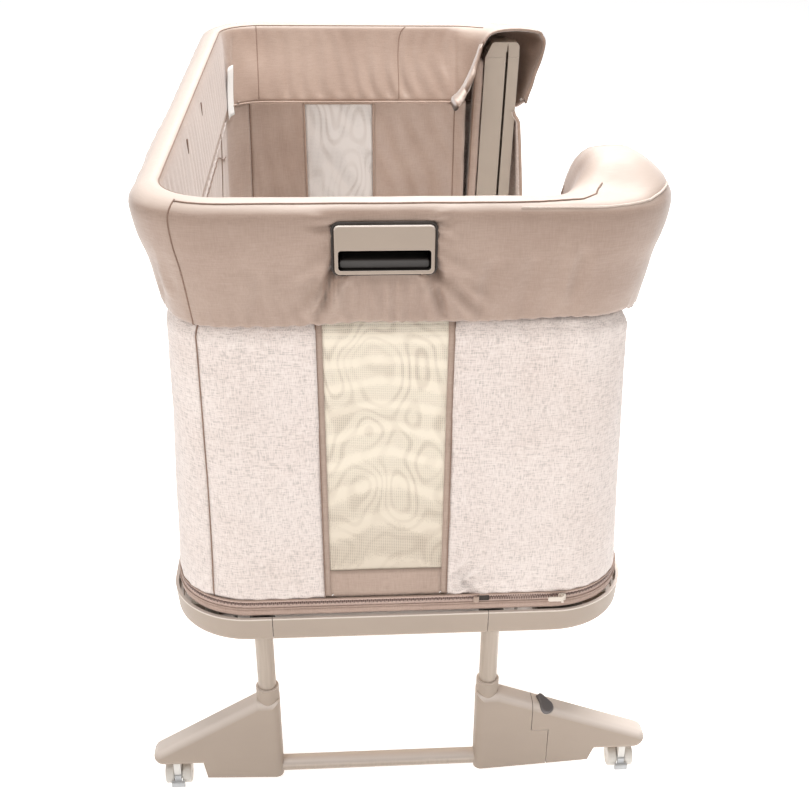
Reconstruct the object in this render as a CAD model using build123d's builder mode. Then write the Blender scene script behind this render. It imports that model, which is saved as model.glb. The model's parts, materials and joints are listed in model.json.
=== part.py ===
from build123d import *
import os

# Bedside bassinet on a telescopic stand, in millimetres.
# +Z is up, +Y runs along the cot, +X points at the drop side. Z = 0 is the floor.
# "near" pieces lie at -Y, and each far piece mirrors its near one.

os.makedirs("parts", exist_ok=True)

# ---- driving dimensions: stand ----
leg_y = -430
left_leg_x = -167
right_leg_x = 107
leg_radius = 11
leg_wall = 1.5
leg_socket_z = 40
leg_top_z = 540
foot_thickness = 32
foot_bottom_z = 17
foot_step_z = 27
toe_underside_z = 41
foot_round = 10
foot_top_z = 139
mouth_radius = 14
mouth_top_z = 157
nose_x = 315
crossbar_radius = 10.5
crossbar_z = 28
crossbar_socket = 12

# ---- driving dimensions: folding toe ----
split_x = 164
split_gap = 0.8
split_step = 22
split_step_z = 80
knuckle_radius = 5.5
knuckle_height = 13
knuckle_gap = 0.5
toe_pin_radius = 2.5
toe_pin_y = leg_y + foot_thickness / 2 + 6

# ---- driving dimensions: casters ----
caster_x = 288
wheel_radius = 14.5
wheel_width = 11.5
wheel_inner_x = 5
caster_trail = 5
fork_half_width = 4.2
axle_radius = 2
stem_radius = 4
stem_height = 20
caster_top_z = 39.8
running_gap = 0.05
brake_pivot_y = leg_y - 6.5
brake_pivot_z = 21
brake_barrel_radius = 2.5
brake_pad_half = 8.5

# ---- driving dimensions: tray and base ----
tray_width = 550
tray_length = 904
tray_corner = 95
tray_bottom_z = 240
tray_height = 34
tray_wall = 4
tray_floor = 6
tray_taper = 4
tray_opening_width = 500
tray_opening_length = 792
tray_seam_left = -154
tray_seam_right = 101
seam_gap = 0.8
panel_z = 256
panel_thickness = 6

# ---- driving dimensions: posts, rim and drop side ----
sleeve_radius = 14
sleeve_wall = 1.5
sleeve_top_z = 640
bush_height = 22
plunger_z = 300
plunger_radius = 3
hole_pitch = 20
hole_count = 9
post_lean = 0.028
slot_x = 197
slot_z = 274
slot_width = 4
post_inner_side = 35
post_outer_side = 19
post_depth = 34
post_wall = 2.5
post_face_y = -402
post_top_z = 735
cap_top_z = 758
rim_z = 748
rim_radius = 9.5
rim_y = 468
rim_left_x = -253.5
left_post_radius = 8
rim_right_x = 212
rail_z = 325
rail_radius = 10
rail_half_length = 372
fitting_half = 13
rail_cover_radius = 14
slider_half_height = 9

# ---- driving dimensions: soft parts ----
wall_bottom_size = (268, 450, 88)
wall_middle_size = (250, 462, 75)
wall_top_size = (245, 470, 70)
wall_thickness = 5
wall_bottom_z = 276
wall_middle_z = 540
zip_bottom_z = 288
zip_top_z = 300
wall_top_z = 647
wall_split_x = -215
split_clearance = 0.3
return_foot_y = 392
return_head_y = 440
mesh_left_x = -91
mesh_right_x = 50
lining_thickness = 3
lining_half_length = 408
lining_top_z = 664
lining_end_x = 158
lining_corner = 60
collar_thickness = 6
collar_top_z = 775
collar_inner_bottom_z = 666
hood_inner_x = 166
near_hood_end_y = -362
far_hood_end_y = 402

lean_direction = (post_lean, 0, 1)
axle_y = leg_y + caster_trail
tray_top_z = tray_bottom_z + tray_height
post_y = post_face_y - post_depth / 2


def save(piece, name):
    """Label a finished piece and write its file."""
    piece.part.label = name
    export_step(piece.part, f"parts/{name}.step")


def save_pair(near_piece, name):
    """Write a near piece and the far piece that mirrors it."""
    save(near_piece, "near_" + name)
    with BuildPart() as far_piece:
        mirror(near_piece.part, about=Plane.XZ)
    save(far_piece, "far_" + name)


def slot_line_x(z):
    """X of the slot in the leaning drop-side posts at height z."""
    return slot_x + post_lean * (z - slot_z)


def wall_size(z):
    """Half width, half length and corner radius of the walls, which lean in at the sides, out at the ends."""
    if z <= wall_middle_z:
        share = (z - wall_bottom_z) / (wall_middle_z - wall_bottom_z)
        lower, upper = wall_bottom_size, wall_middle_size
    else:
        share = (z - wall_middle_z) / (wall_top_z - wall_middle_z)
        lower, upper = wall_middle_size, wall_top_size
    return [low + share * (high - low) for low, high in zip(lower, upper)]


def loft_levels(levels):
    """Solid through rounded rectangles, each given as height, left x, right x, half length and corner."""
    with BuildPart() as body:
        for height, left, right, half_length, corner in levels:
            with BuildSketch(Plane.XY.offset(height)):
                with Locations(((left + right) / 2, 0)):
                    RectangleRounded(right - left, 2 * half_length, corner)
        loft(ruled=True)
    return body.part


def wall_levels(heights, inset):
    """Levels of the fabric walls at the given heights, set in from their outer face."""
    levels = []
    for height in heights:
        half_width, half_length, corner = wall_size(height)
        levels.append((height, inset - half_width, half_width - inset, half_length - inset, corner - inset))
    return levels


def wall_ring(bottom, top, inner_inset, outer_inset=0):
    """Closed ring of fabric wall between two heights."""
    heights = [bottom, top]
    if bottom < wall_middle_z < top:
        heights = [bottom, wall_middle_z, top]
    with BuildPart() as ring:
        add(loft_levels(wall_levels(heights, outer_inset)))
        add(loft_levels(wall_levels(heights, inner_inset)), mode=Mode.SUBTRACT)
    return ring.part


# =============================== stand ===============================

def foot_blank(outline_points, nose_points, mouth_x):
    """Foot moulding: a rounded wedge with a round mouth for the leg tube."""
    with BuildPart() as foot:
        with BuildSketch(Plane.XZ.offset(-leg_y)):
            with BuildLine():
                Polyline(*outline_points)
                ThreePointArc(*nose_points)
            make_face()
        extrude(amount=foot_thickness / 2, both=True)
        front = foot.faces().sort_by(Axis.Y)[0].edges()
        back = foot.faces().sort_by(Axis.Y)[-1].edges()
        upper = [edge for edge in front + back if edge.center().Z > toe_underside_z + 5]
        fillet(upper, foot_round)
        with BuildSketch(Plane.XY.offset(leg_socket_z)):
            with Locations((mouth_x, leg_y)):
                Circle(mouth_radius)
        extrude(amount=mouth_top_z - leg_socket_z)
        with BuildSketch(Plane.XY.offset(leg_socket_z)):
            with Locations((mouth_x, leg_y)):
                Circle(leg_radius)
        extrude(amount=mouth_top_z - leg_socket_z, mode=Mode.SUBTRACT)
    return foot.part


def caster_bore(x):
    """Cutter for the stem socket of the caster below x."""
    with BuildPart() as bore:
        with BuildSketch(Plane.XY.offset(foot_bottom_z)):
            with Locations((x, leg_y)):
                Circle(stem_radius + running_gap)
        extrude(amount=caster_top_z + stem_height + 1 - foot_bottom_z)
    return bore.part


def crossbar_body(extra_length, radius):
    """Round bar between the feet, longer by extra_length at each end."""
    start = left_leg_x + mouth_radius - extra_length
    end = right_leg_x - mouth_radius + extra_length
    with BuildPart() as bar:
        with BuildSketch(Plane.YZ.offset(start)):
            with Locations((leg_y, crossbar_z)):
                Circle(radius)
        extrude(amount=end - start)
    return bar.part


crossbar_solid = crossbar_body(crossbar_socket, crossbar_radius)


def nose_arc(side, leg_x, slope):
    """Start, middle and end of the arc from a foot's underside to its sloping top."""
    start_x = side * leg_x + mouth_radius
    steep = (1 + slope ** 2) ** 0.5
    nose_height = foot_top_z - slope * (nose_x - start_x)
    radius = (nose_height - toe_underside_z) / (1 + steep - slope)
    centre_x = nose_x - radius
    centre_z = toe_underside_z + radius
    return [
        (side * centre_x, toe_underside_z),
        (side * nose_x, centre_z),
        (side * (centre_x + radius * slope / steep), centre_z + radius / steep),
    ]


left_nose = nose_arc(-1, left_leg_x, 0.588)
left_points = [
    left_nose[-1],
    (left_leg_x - mouth_radius, foot_top_z),
    (left_leg_x + mouth_radius, foot_top_z),
    (left_leg_x + mouth_radius, foot_bottom_z),
    (-249, foot_bottom_z + 4),
    (-252, toe_underside_z),
    left_nose[0],
]
with BuildPart() as left_foot:
    add(foot_blank(left_points, left_nose, left_leg_x))
    add(crossbar_solid, mode=Mode.SUBTRACT)
    add(caster_bore(-caster_x), mode=Mode.SUBTRACT)
save_pair(left_foot, "left_foot")

right_nose = nose_arc(1, right_leg_x, 0.382)
right_points = [
    right_nose[-1],
    (right_leg_x + mouth_radius, foot_top_z),
    (right_leg_x - mouth_radius, foot_top_z),
    (right_leg_x - mouth_radius, foot_bottom_z),
    (241, foot_step_z),
    (246, toe_underside_z),
    right_nose[0],
]
right_blank = foot_blank(right_points, right_nose, right_leg_x)


def toe_side(shift):
    """Cutter for everything on the toe's side of the stepped split, moved by shift."""
    with BuildPart() as side:
        with BuildSketch(Plane.XZ.offset(-leg_y)):
            with BuildLine():
                Polyline(
                    (split_x + shift, 200),
                    (400, 200),
                    (400, 0),
                    (split_x + split_step + shift, 0),
                    (split_x + split_step + shift, split_step_z + shift),
                    (split_x + shift, split_step_z + shift),
                    close=True,
                )
            make_face()
        extrude(amount=foot_thickness, both=True)
    return side.part


def knuckle(bottom, arm_side):
    """Hinge knuckle behind the foot, with an arm towards arm_side (-1 fixed foot, +1 toe)."""
    hinge_x = split_x + split_gap
    with BuildPart() as lug:
        with BuildSketch(Plane.XY.offset(bottom)):
            with Locations((hinge_x, toe_pin_y)):
                Circle(knuckle_radius)
            with Locations((hinge_x + arm_side * 8, toe_pin_y - 3.5)):
                Rectangle(16, 2 * knuckle_radius - 1)
            with Locations((hinge_x, toe_pin_y)):
                Circle(toe_pin_radius + running_gap, mode=Mode.SUBTRACT)
        extrude(amount=knuckle_height)
    return lug.part


lower_knuckle_z = 67.6
toe_knuckle_z = lower_knuckle_z + knuckle_height + knuckle_gap
upper_knuckle_z = toe_knuckle_z + knuckle_height + knuckle_gap

with BuildPart() as right_foot:
    add(right_blank)
    add(toe_side(0), mode=Mode.SUBTRACT)
    add(crossbar_solid, mode=Mode.SUBTRACT)
    add(knuckle(lower_knuckle_z, -1))
    add(knuckle(upper_knuckle_z, -1))
save_pair(right_foot, "right_foot")

# The release button sits on the toe's rounded shoulder and is pressed along its own axis.
button_axis = Vector(0.3, -0.45, 0.84).normalized()
button_plane = Plane(origin=(180, leg_y - 4, 114.5), x_dir=(0.8, 0.5, 0), z_dir=button_axis)
button_large_radius = 9.5
button_small_radius = 4
button_spread = 14.5


def button_outline(clearance):
    """Teardrop outline of the toe button."""
    with BuildSketch(button_plane) as outline:
        with Locations((0, -button_spread / 3)):
            Circle(button_large_radius + clearance)
        with Locations((0, button_spread * 2 / 3)):
            Circle(button_small_radius + clearance)
        make_hull()
    return outline.sketch


button_depth = 2.5
button_proud = 5
button_pocket = 7
with BuildPart() as toe:
    add(right_blank)
    add(toe_side(split_gap), mode=Mode.INTERSECT)
    add(caster_bore(caster_x), mode=Mode.SUBTRACT)
    add(knuckle(toe_knuckle_z, 1))
    extrude(button_outline(0.4), amount=-button_pocket, mode=Mode.SUBTRACT)
    extrude(button_outline(0.4), amount=button_pocket, mode=Mode.SUBTRACT)
save_pair(toe, "toe")

with BuildPart() as toe_button:
    extrude(button_outline(0), amount=button_proud)
    extrude(button_outline(0), amount=-button_depth)
    fillet(toe_button.faces().sort_by(Axis(button_plane.origin, button_axis))[-1].edges(), 3)
save_pair(toe_button, "toe_button")

with BuildPart() as toe_pin:
    with BuildSketch(Plane.XY.offset(lower_knuckle_z - 1)):
        with Locations((split_x + split_gap, toe_pin_y)):
            Circle(toe_pin_radius)
    extrude(amount=3 * knuckle_height + 2 * knuckle_gap + 2)
save_pair(toe_pin, "toe_hinge_pin")

with BuildPart() as crossbar:
    add(crossbar_solid)
    add(crossbar_body(crossbar_socket, crossbar_radius - leg_wall), mode=Mode.SUBTRACT)
save_pair(crossbar, "crossbar")

with BuildPart() as leg_tubes:
    with BuildSketch(Plane.XY.offset(leg_socket_z)):
        with Locations((left_leg_x, leg_y), (right_leg_x, leg_y)):
            Circle(leg_radius)
            Circle(leg_radius - leg_wall, mode=Mode.SUBTRACT)
    extrude(amount=leg_top_z - leg_socket_z)
    # a ladder of lock holes faces the inside of the cot
    for index in range(hole_count):
        hole_z = plunger_z + (index - 3) * hole_pitch
        with BuildSketch(Plane.XZ.offset(-leg_y)):
            with Locations((left_leg_x, hole_z), (right_leg_x, hole_z)):
                Circle(plunger_radius + 0.5)
        extrude(amount=-2 * leg_radius, mode=Mode.SUBTRACT)
save_pair(leg_tubes, "leg_tubes")


# =============================== casters ===============================

def caster(x, name):
    """One braked twin-wheel caster below x: fork with its axle and stem, wheels and brake pedal."""
    with BuildPart() as fork:
        with BuildSketch(Plane.YZ.offset(x)):
            with BuildLine():
                Polyline(
                    (leg_y - 9, caster_top_z),
                    (axle_y + 8, caster_top_z),
                    (axle_y + 10, wheel_radius),
                    (axle_y + 6, 7),
                    (axle_y - 5, 7),
                    (axle_y - 8, 19),
                    (leg_y - 9, 20),
                    close=True,
                )
            make_face()
            with Locations((brake_pivot_y, brake_pivot_z)):
                Circle(brake_barrel_radius + 0.1, mode=Mode.SUBTRACT)
            with Locations((brake_pivot_y - 1, brake_pivot_z - 4.5)):
                Rectangle(8, 9, mode=Mode.SUBTRACT)
        extrude(amount=fork_half_width, both=True)
        with BuildSketch(Plane.YZ.offset(x)):
            with Locations((axle_y, wheel_radius)):
                Circle(axle_radius)
        extrude(amount=wheel_inner_x + wheel_width - 0.5, both=True)
        with BuildSketch(Plane.XY.offset(caster_top_z)):
            with Locations((x, leg_y)):
                Circle(stem_radius)
        extrude(amount=stem_height)
    save_pair(fork, name + "_caster_fork")

    with BuildPart() as wheels:
        for side in (-1, 1):
            with BuildSketch(Plane.YZ.offset(x + side * wheel_inner_x)):
                with Locations((axle_y, wheel_radius)):
                    Circle(wheel_radius)
                    Circle(axle_radius + running_gap, mode=Mode.SUBTRACT)
            extrude(amount=side * wheel_width)
        treads = wheels.edges().filter_by(GeomType.CIRCLE)
        fillet([edge for edge in treads if edge.radius > wheel_radius / 2], 2)
    save_pair(wheels, name + "_caster_wheels")

    with BuildPart() as brake:
        with BuildSketch(Plane.YZ.offset(x)):
            with Locations((brake_pivot_y, brake_pivot_z)):
                Circle(brake_barrel_radius)
            with Locations((brake_pivot_y - 2.8, brake_pivot_z - 7)):
                Rectangle(4, 14)
        extrude(amount=fork_half_width - 0.2, both=True)
        with BuildSketch(Plane.YZ.offset(x)):
            with Locations((brake_pivot_y - 6.8, 9)):
                Rectangle(4.4, 8)
        extrude(amount=brake_pad_half, both=True)
        pad_edges = brake.faces().sort_by(Axis.Y)[0].edges()
        fillet(pad_edges, 1.5)
    save_pair(brake, name + "_caster_brake")


caster(-caster_x, "left")
caster(caster_x, "right")


# =============================== tray ===============================

with BuildPart() as tray_ring:
    with BuildSketch(Plane.XY.offset(tray_top_z)):
        RectangleRounded(tray_width, tray_length, tray_corner)
    extrude(amount=-tray_height, taper=tray_taper)
    fillet(tray_ring.faces().sort_by(Axis.Z)[0].edges(), 8)
    with BuildSketch(Plane.XY.offset(tray_bottom_z + tray_floor)):
        RectangleRounded(tray_width - 4 * tray_wall, tray_length - 4 * tray_wall, tray_corner - 2 * tray_wall)
        Rectangle(
            tray_opening_width + 2 * tray_wall,
            tray_opening_length + 2 * tray_wall,
            mode=Mode.SUBTRACT,
        )
    extrude(amount=tray_height, mode=Mode.SUBTRACT)
    with BuildSketch(Plane.XY.offset(panel_z)):
        RectangleRounded(tray_width - 2 * tray_wall, tray_length - 2 * tray_wall, tray_corner - tray_wall)
    extrude(amount=tray_height, mode=Mode.SUBTRACT)
    with BuildSketch(Plane.XY.offset(tray_bottom_z)):
        Rectangle(tray_opening_width, tray_opening_length)
    extrude(amount=tray_height, mode=Mode.SUBTRACT)
    with BuildSketch(Plane.XY.offset(tray_bottom_z)):
        for side in (-1, 1):
            with Locations((left_leg_x, side * leg_y), (right_leg_x, side * leg_y)):
                Circle(sleeve_radius + 1)
    extrude(amount=tray_height, mode=Mode.SUBTRACT)

screw_spots = [(x, y) for x in (-200, 140) for y in (-412, 412)]
screw_spots += [(x, y) for x in (-262, 262) for y in (-150, 150)]
screw_shank = 2
screw_head = 4


def tray_piece(low_x, high_x, low_y, high_y):
    """Length of the tray ring inside the given plan box."""
    with BuildPart() as piece:
        add(tray_ring.part)
        with BuildSketch(Plane.XY.offset(tray_bottom_z - 1)):
            with Locations(((low_x + high_x) / 2, (low_y + high_y) / 2)):
                Rectangle(high_x - low_x, high_y - low_y)
        extrude(amount=tray_height + 2, mode=Mode.INTERSECT)
        with BuildSketch(Plane.XY.offset(tray_bottom_z - 1)):
            with Locations(*screw_spots):
                Circle(screw_shank)
        extrude(amount=tray_height, mode=Mode.SUBTRACT)
    return piece


half = seam_gap / 2
save(tray_piece(-tray_width, tray_seam_left - half, -tray_length, tray_length), "tray_left")
save(tray_piece(tray_seam_right + half, tray_width, -tray_length, tray_length), "tray_right")
near_middle = tray_piece(tray_seam_left + half, tray_seam_right - half, -tray_length, 0)
with BuildPart() as tray_middles:
    add(near_middle.part)
    mirror(near_middle.part, about=Plane.XZ)
save(tray_middles, "tray_middles")

with BuildPart() as tray_screws:
    with BuildSketch(Plane.XY.offset(tray_bottom_z)):
        with Locations(*screw_spots):
            Circle(screw_shank)
    extrude(amount=tray_floor + 6)
    with BuildSketch(Plane.XY.offset(tray_bottom_z)):
        with Locations(*screw_spots):
            Circle(screw_head)
    extrude(amount=-2.4)
save(tray_screws, "tray_screws")

with BuildPart() as base_panel:
    with BuildSketch(Plane.XY.offset(panel_z)):
        RectangleRounded(tray_opening_width + 2 * tray_wall, tray_opening_length + 2 * tray_wall, 6)
    extrude(amount=panel_thickness)
save(base_panel, "base_panel")


# =============================== frame of the basket ===============================

leg_spots = [(x, y) for x in (left_leg_x, right_leg_x) for y in (leg_y, -leg_y)]

with BuildPart() as sleeves:
    with BuildSketch(Plane.XY.offset(tray_bottom_z + bush_height)):
        with Locations(*leg_spots):
            Circle(sleeve_radius)
            Circle(sleeve_radius - sleeve_wall, mode=Mode.SUBTRACT)
    extrude(amount=sleeve_top_z - tray_bottom_z - bush_height)
    # guide bosses for the lock plungers, on the side that faces the inside of the cot
    boss_length = -2 * leg_y - 2 * sleeve_radius
    with BuildSketch(Plane.XZ.offset(-leg_y - sleeve_radius + 0.5)):
        with Locations((left_leg_x, plunger_z), (right_leg_x, plunger_z)):
            Circle(plunger_radius + 5)
    extrude(amount=-6.5)
    with BuildSketch(Plane.XZ.offset(leg_y + sleeve_radius + 6)):
        with Locations((left_leg_x, plunger_z), (right_leg_x, plunger_z)):
            Circle(plunger_radius + 5)
    extrude(amount=-6.5)
    with BuildSketch(Plane.XZ.offset(-leg_y - sleeve_radius + 0.01)):
        with Locations((left_leg_x, plunger_z), (right_leg_x, plunger_z)):
            Circle(plunger_radius + 2 + running_gap)
    extrude(amount=-boss_length - 0.02, mode=Mode.SUBTRACT)
    with BuildSketch(Plane.XZ.offset(leg_y)):
        with Locations((left_leg_x, plunger_z), (right_leg_x, plunger_z)):
            Circle(plunger_radius + running_gap)
    extrude(amount=-2 * leg_y, mode=Mode.SUBTRACT)
save(sleeves, "sleeve_tubes")

with BuildPart() as bushes:
    with BuildSketch(Plane.XY.offset(tray_bottom_z)):
        with Locations(*leg_spots):
            Circle(sleeve_radius + 1)
            Circle(leg_radius + running_gap, mode=Mode.SUBTRACT)
    extrude(amount=bush_height)
save(bushes, "tube_bushes")

plunger_tip_y = leg_y + leg_radius + 0.4
plunger_shank = 3.2
with BuildPart() as plungers:
    with BuildSketch(Plane.XZ.offset(-plunger_tip_y)):
        with Locations((left_leg_x, plunger_z), (right_leg_x, plunger_z)):
            Circle(plunger_radius)
    extrude(amount=-plunger_shank)
    with BuildSketch(Plane.XZ.offset(-plunger_tip_y - plunger_shank)):
        with Locations((left_leg_x, plunger_z), (right_leg_x, plunger_z)):
            Circle(plunger_radius + 2)
    extrude(amount=-2)
save_pair(plungers, "lock_plungers")


def post_prism(low_x, high_x, low_y, high_y, bottom, top):
    """Leaning prism about the slot line; its section is given from the slot line at the bottom."""
    with BuildPart() as prism:
        with BuildSketch(Plane.XY.offset(bottom)):
            with Locations((slot_line_x(bottom) + (low_x + high_x) / 2, (low_y + high_y) / 2)):
                Rectangle(high_x - low_x, high_y - low_y)
        extrude(amount=top - bottom, dir=lean_direction)
    return prism.part


post_bottom_z = tray_bottom_z + tray_floor
post_back_y = post_face_y - post_depth
post_outside = post_prism(
    -post_inner_side,
    post_outer_side,
    post_back_y,
    post_face_y,
    post_bottom_z,
    post_top_z,
)
post_inside = post_prism(
    post_wall - post_inner_side,
    post_outer_side - post_wall,
    post_back_y + post_wall,
    post_face_y - post_wall,
    post_bottom_z,
    post_top_z,
)
post_slot = post_prism(
    -slot_width / 2,
    slot_width / 2,
    post_y,
    post_face_y + 1,
    rail_z - 45,
    post_top_z,
)
with BuildPart() as post:
    add(post_outside)
    add(post_inside, mode=Mode.SUBTRACT)
    add(post_slot, mode=Mode.SUBTRACT)
save_pair(post, "post")

cap_x = slot_line_x(post_top_z)
with BuildPart() as cap:
    with BuildSketch(Plane.XZ.offset(-post_y)):
        with BuildLine():
            Polyline(
                (cap_x - 26, cap_top_z - 5),
                (cap_x - post_inner_side, post_top_z + 0.2),
                (cap_x + post_outer_side, post_top_z + 0.2),
                (cap_x + post_outer_side, cap_top_z - 8),
            )
            ThreePointArc(
                (cap_x + post_outer_side, cap_top_z - 8),
                (cap_x + post_outer_side - 2.3, cap_top_z - 2.3),
                (cap_x + post_outer_side - 8, cap_top_z),
            )
            Line((cap_x + post_outer_side - 8, cap_top_z), (cap_x - 20, cap_top_z))
            ThreePointArc(
                (cap_x - 20, cap_top_z),
                (cap_x - 24, cap_top_z - 1.6),
                (cap_x - 26, cap_top_z - 5),
            )
        make_face()
    extrude(amount=post_depth / 2, both=True)
    with BuildSketch(Plane.XZ.offset(-post_face_y)):
        with Locations((cap_x + 0.5, cap_top_z - 12)):
            Rectangle(2.6, 14)
    extrude(amount=4, mode=Mode.SUBTRACT)
    with BuildSketch(Plane.XY.offset(post_top_z)):
        with Locations((cap_x + (post_outer_side - post_inner_side) / 2, post_y)):
            Rectangle(post_inner_side + post_outer_side - 2 * post_wall, post_depth - 2 * post_wall)
    extrude(amount=9, mode=Mode.SUBTRACT)
    with BuildSketch(Plane.XY.offset(post_top_z)):
        with Locations((cap_x, post_face_y)):
            Rectangle(slot_width, 2 * post_wall)
    extrude(amount=9, mode=Mode.SUBTRACT)
with BuildPart() as caps:
    add(cap.part)
    mirror(cap.part, about=Plane.XZ)
save(caps, "post_caps")

rim_corners = [
    (rim_right_x, post_back_y, rim_z),
    (rim_right_x, -rim_y, rim_z),
    (rim_left_x, -rim_y, rim_z),
    (rim_left_x, rim_y, rim_z),
    (rim_right_x, rim_y, rim_z),
    (rim_right_x, -post_back_y, rim_z),
]


def rim_bar(radius):
    """Bar along the rim, from the near drop-side post round to the far one."""
    with BuildPart() as bar:
        with BuildLine() as path:
            FilletPolyline(*rim_corners, radius=[24, 85, 85, 24])
        with BuildSketch(Plane(origin=rim_corners[0], z_dir=(0, -1, 0))) as section:
            Circle(radius)
        sweep(sections=section.sketch, path=path.line)
    return bar.part


def corner_bar(side, radius):
    """Upright bar in a left corner, which bends out to meet the rim; side is -1 near, +1 far."""
    post_foot = Vector(-229, side * 411, post_bottom_z + 1.5)
    post_bend = Vector(-206, side * 429, 665)
    post_head = Vector(-218, side * 453, rim_z)
    with BuildPart() as bar:
        with BuildLine() as path:
            FilletPolyline(post_foot, post_bend, post_head, radius=60)
        with BuildSketch(Plane(origin=post_foot, z_dir=post_bend - post_foot)) as section:
            Circle(radius)
        sweep(sections=section.sketch, path=path.line)
    return bar.part


with BuildPart() as rim_frame:
    add(rim_bar(rim_radius))
    for side in (-1, 1):
        add(corner_bar(side, left_post_radius))
        add(corner_bar(side, left_post_radius - leg_wall), mode=Mode.SUBTRACT)
    add(rim_bar(rim_radius - leg_wall), mode=Mode.SUBTRACT)
save(rim_frame, "rim_frame")


# =============================== handles ===============================

handle_left_x = -70
handle_right_x = 26
handle_bottom_z = 708
handle_top_z = 756
handle_face_y = -491
recess_bottom_z = 712
recess_top_z = 732
housing_lip = 12
housing_back_top_z = 736
housing_back_depth = 22
recess_depth = 31
handle_centre_x = (handle_left_x + handle_right_x) / 2
handle_centre_z = (handle_bottom_z + handle_top_z) / 2
handle_width = handle_right_x - handle_left_x

with BuildPart() as housing:
    with BuildSketch(Plane.XZ.offset(-handle_face_y)):
        with Locations((handle_centre_x, handle_centre_z)):
            RectangleRounded(handle_width, handle_top_z - handle_bottom_z, 5)
    extrude(amount=-housing_lip)
    fillet(housing.faces().sort_by(Axis.Y)[0].edges(), 1.5)
    with BuildSketch(Plane.XZ.offset(-handle_face_y - housing_lip)):
        with Locations((handle_centre_x, (handle_bottom_z + housing_back_top_z) / 2)):
            Rectangle(handle_width - 4, housing_back_top_z - handle_bottom_z)
    extrude(amount=-housing_back_depth)
    with BuildSketch(Plane.XZ.offset(-handle_face_y)):
        with Locations((handle_centre_x, (recess_bottom_z + recess_top_z) / 2)):
            RectangleRounded(handle_width - 7, recess_top_z - recess_bottom_z, 3)
    extrude(amount=-recess_depth, mode=Mode.SUBTRACT)
save_pair(housing, "handle_housing")

lever_height = 9
with BuildPart() as lever:
    with BuildSketch(Plane.XZ.offset(-handle_face_y - 5)):
        with Locations((handle_centre_x, recess_bottom_z + 0.4 + lever_height / 2)):
            RectangleRounded(handle_width - 9, lever_height, 3)
    extrude(amount=-22)
    fillet(lever.faces().sort_by(Axis.Y)[0].edges(), 1.5)
save_pair(lever, "height_lever")


# =============================== drop side ===============================

rail_x = slot_line_x(rail_z)

with BuildPart() as side_rail:
    with BuildSketch(Plane.XZ.offset(rail_half_length)):
        with Locations((rail_x, rail_z)):
            Circle(rail_radius)
            Circle(rail_radius - leg_wall, mode=Mode.SUBTRACT)
    extrude(amount=-2 * rail_half_length)
save(side_rail, "side_rail")

fitting_face_y = post_face_y + 4
button_radius = 6
slider_bottom = rail_z - slider_half_height
slider_top = rail_z + slider_half_height
slider_gap = 0.5
slider_block = post_prism(
    post_wall + slider_gap - post_inner_side,
    post_outer_side - post_wall - slider_gap,
    post_back_y + post_wall + slider_gap,
    post_face_y - post_wall - slider_gap,
    slider_bottom,
    slider_top,
)
slider_neck = post_prism(
    slider_gap - slot_width / 2,
    slot_width / 2 - slider_gap,
    post_face_y - post_wall - 2,
    fitting_face_y + 1,
    slider_bottom,
    slider_top,
)
with BuildPart() as slider:
    add(slider_block)
    add(slider_neck)
    with BuildSketch(Plane.XZ.offset(-fitting_face_y)):
        with Locations((rail_x, rail_z)):
            RectangleRounded(2 * fitting_half, 2 * fitting_half, 6)
    extrude(amount=fitting_face_y + rail_half_length)
    with BuildSketch(Plane.YZ.offset(rail_x + 4)):
        with Locations(((fitting_face_y - rail_half_length) / 2, rail_z)):
            Circle(button_radius + 0.3)
    extrude(amount=fitting_half, mode=Mode.SUBTRACT)
with BuildPart() as sliders:
    add(slider.part)
    mirror(slider.part, about=Plane.XZ)
save(sliders, "rail_sliders")

with BuildPart() as rail_button:
    with BuildSketch(Plane.YZ.offset(rail_x + 7.5)):
        with Locations(((fitting_face_y - rail_half_length) / 2, rail_z)):
            Circle(button_radius)
    extrude(amount=8)
    fillet(rail_button.faces().sort_by(Axis.X)[-1].edges(), 1.5)
save_pair(rail_button, "rail_button")

with BuildPart() as rail_cover:
    with BuildSketch(Plane.XZ.offset(rail_half_length - 2)):
        with Locations((rail_x, rail_z)):
            Circle(rail_cover_radius)
            Circle(rail_radius + 0.3, mode=Mode.SUBTRACT)
    extrude(amount=-2 * (rail_half_length - 2))
save(rail_cover, "rail_cover")

bundle_top_z = 306
bundle_left_x = 186
bundle_right_x = 258
bundle_half_length = 390
with BuildPart() as side_panel:
    with BuildSketch(Plane.XY.offset(wall_bottom_z)):
        with Locations(((bundle_left_x + bundle_right_x) / 2, 0)):
            RectangleRounded(bundle_right_x - bundle_left_x, 2 * bundle_half_length, 10)
    extrude(amount=bundle_top_z - wall_bottom_z)
save(side_panel, "side_panel")


# =============================== fabric ===============================

cut_reach = 600


def plan_cutter(low_x, high_x, low_y, high_y, bottom, top):
    """Upright block with the given plan box and heights."""
    with BuildPart() as block:
        with BuildSketch(Plane.XY.offset(bottom)):
            with Locations(((low_x + high_x) / 2, (low_y + high_y) / 2)):
                Rectangle(high_x - low_x, high_y - low_y)
        extrude(amount=top - bottom)
    return block.part


full_wall = wall_ring(zip_top_z, wall_top_z, wall_thickness)
# the end walls stop at slanting edges beside the posts
with BuildPart() as drop_gap:
    with BuildSketch(Plane.YZ.offset(hood_inner_x)):
        with BuildLine():
            Polyline(
                (-return_foot_y, zip_top_z),
                (return_foot_y, zip_top_z),
                (return_head_y, wall_top_z),
                (-return_head_y, wall_top_z),
                close=True,
            )
        make_face()
    extrude(amount=cut_reach)
window = plan_cutter(mesh_left_x, mesh_right_x, -cut_reach, cut_reach, zip_top_z + 12, wall_top_z)

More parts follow.
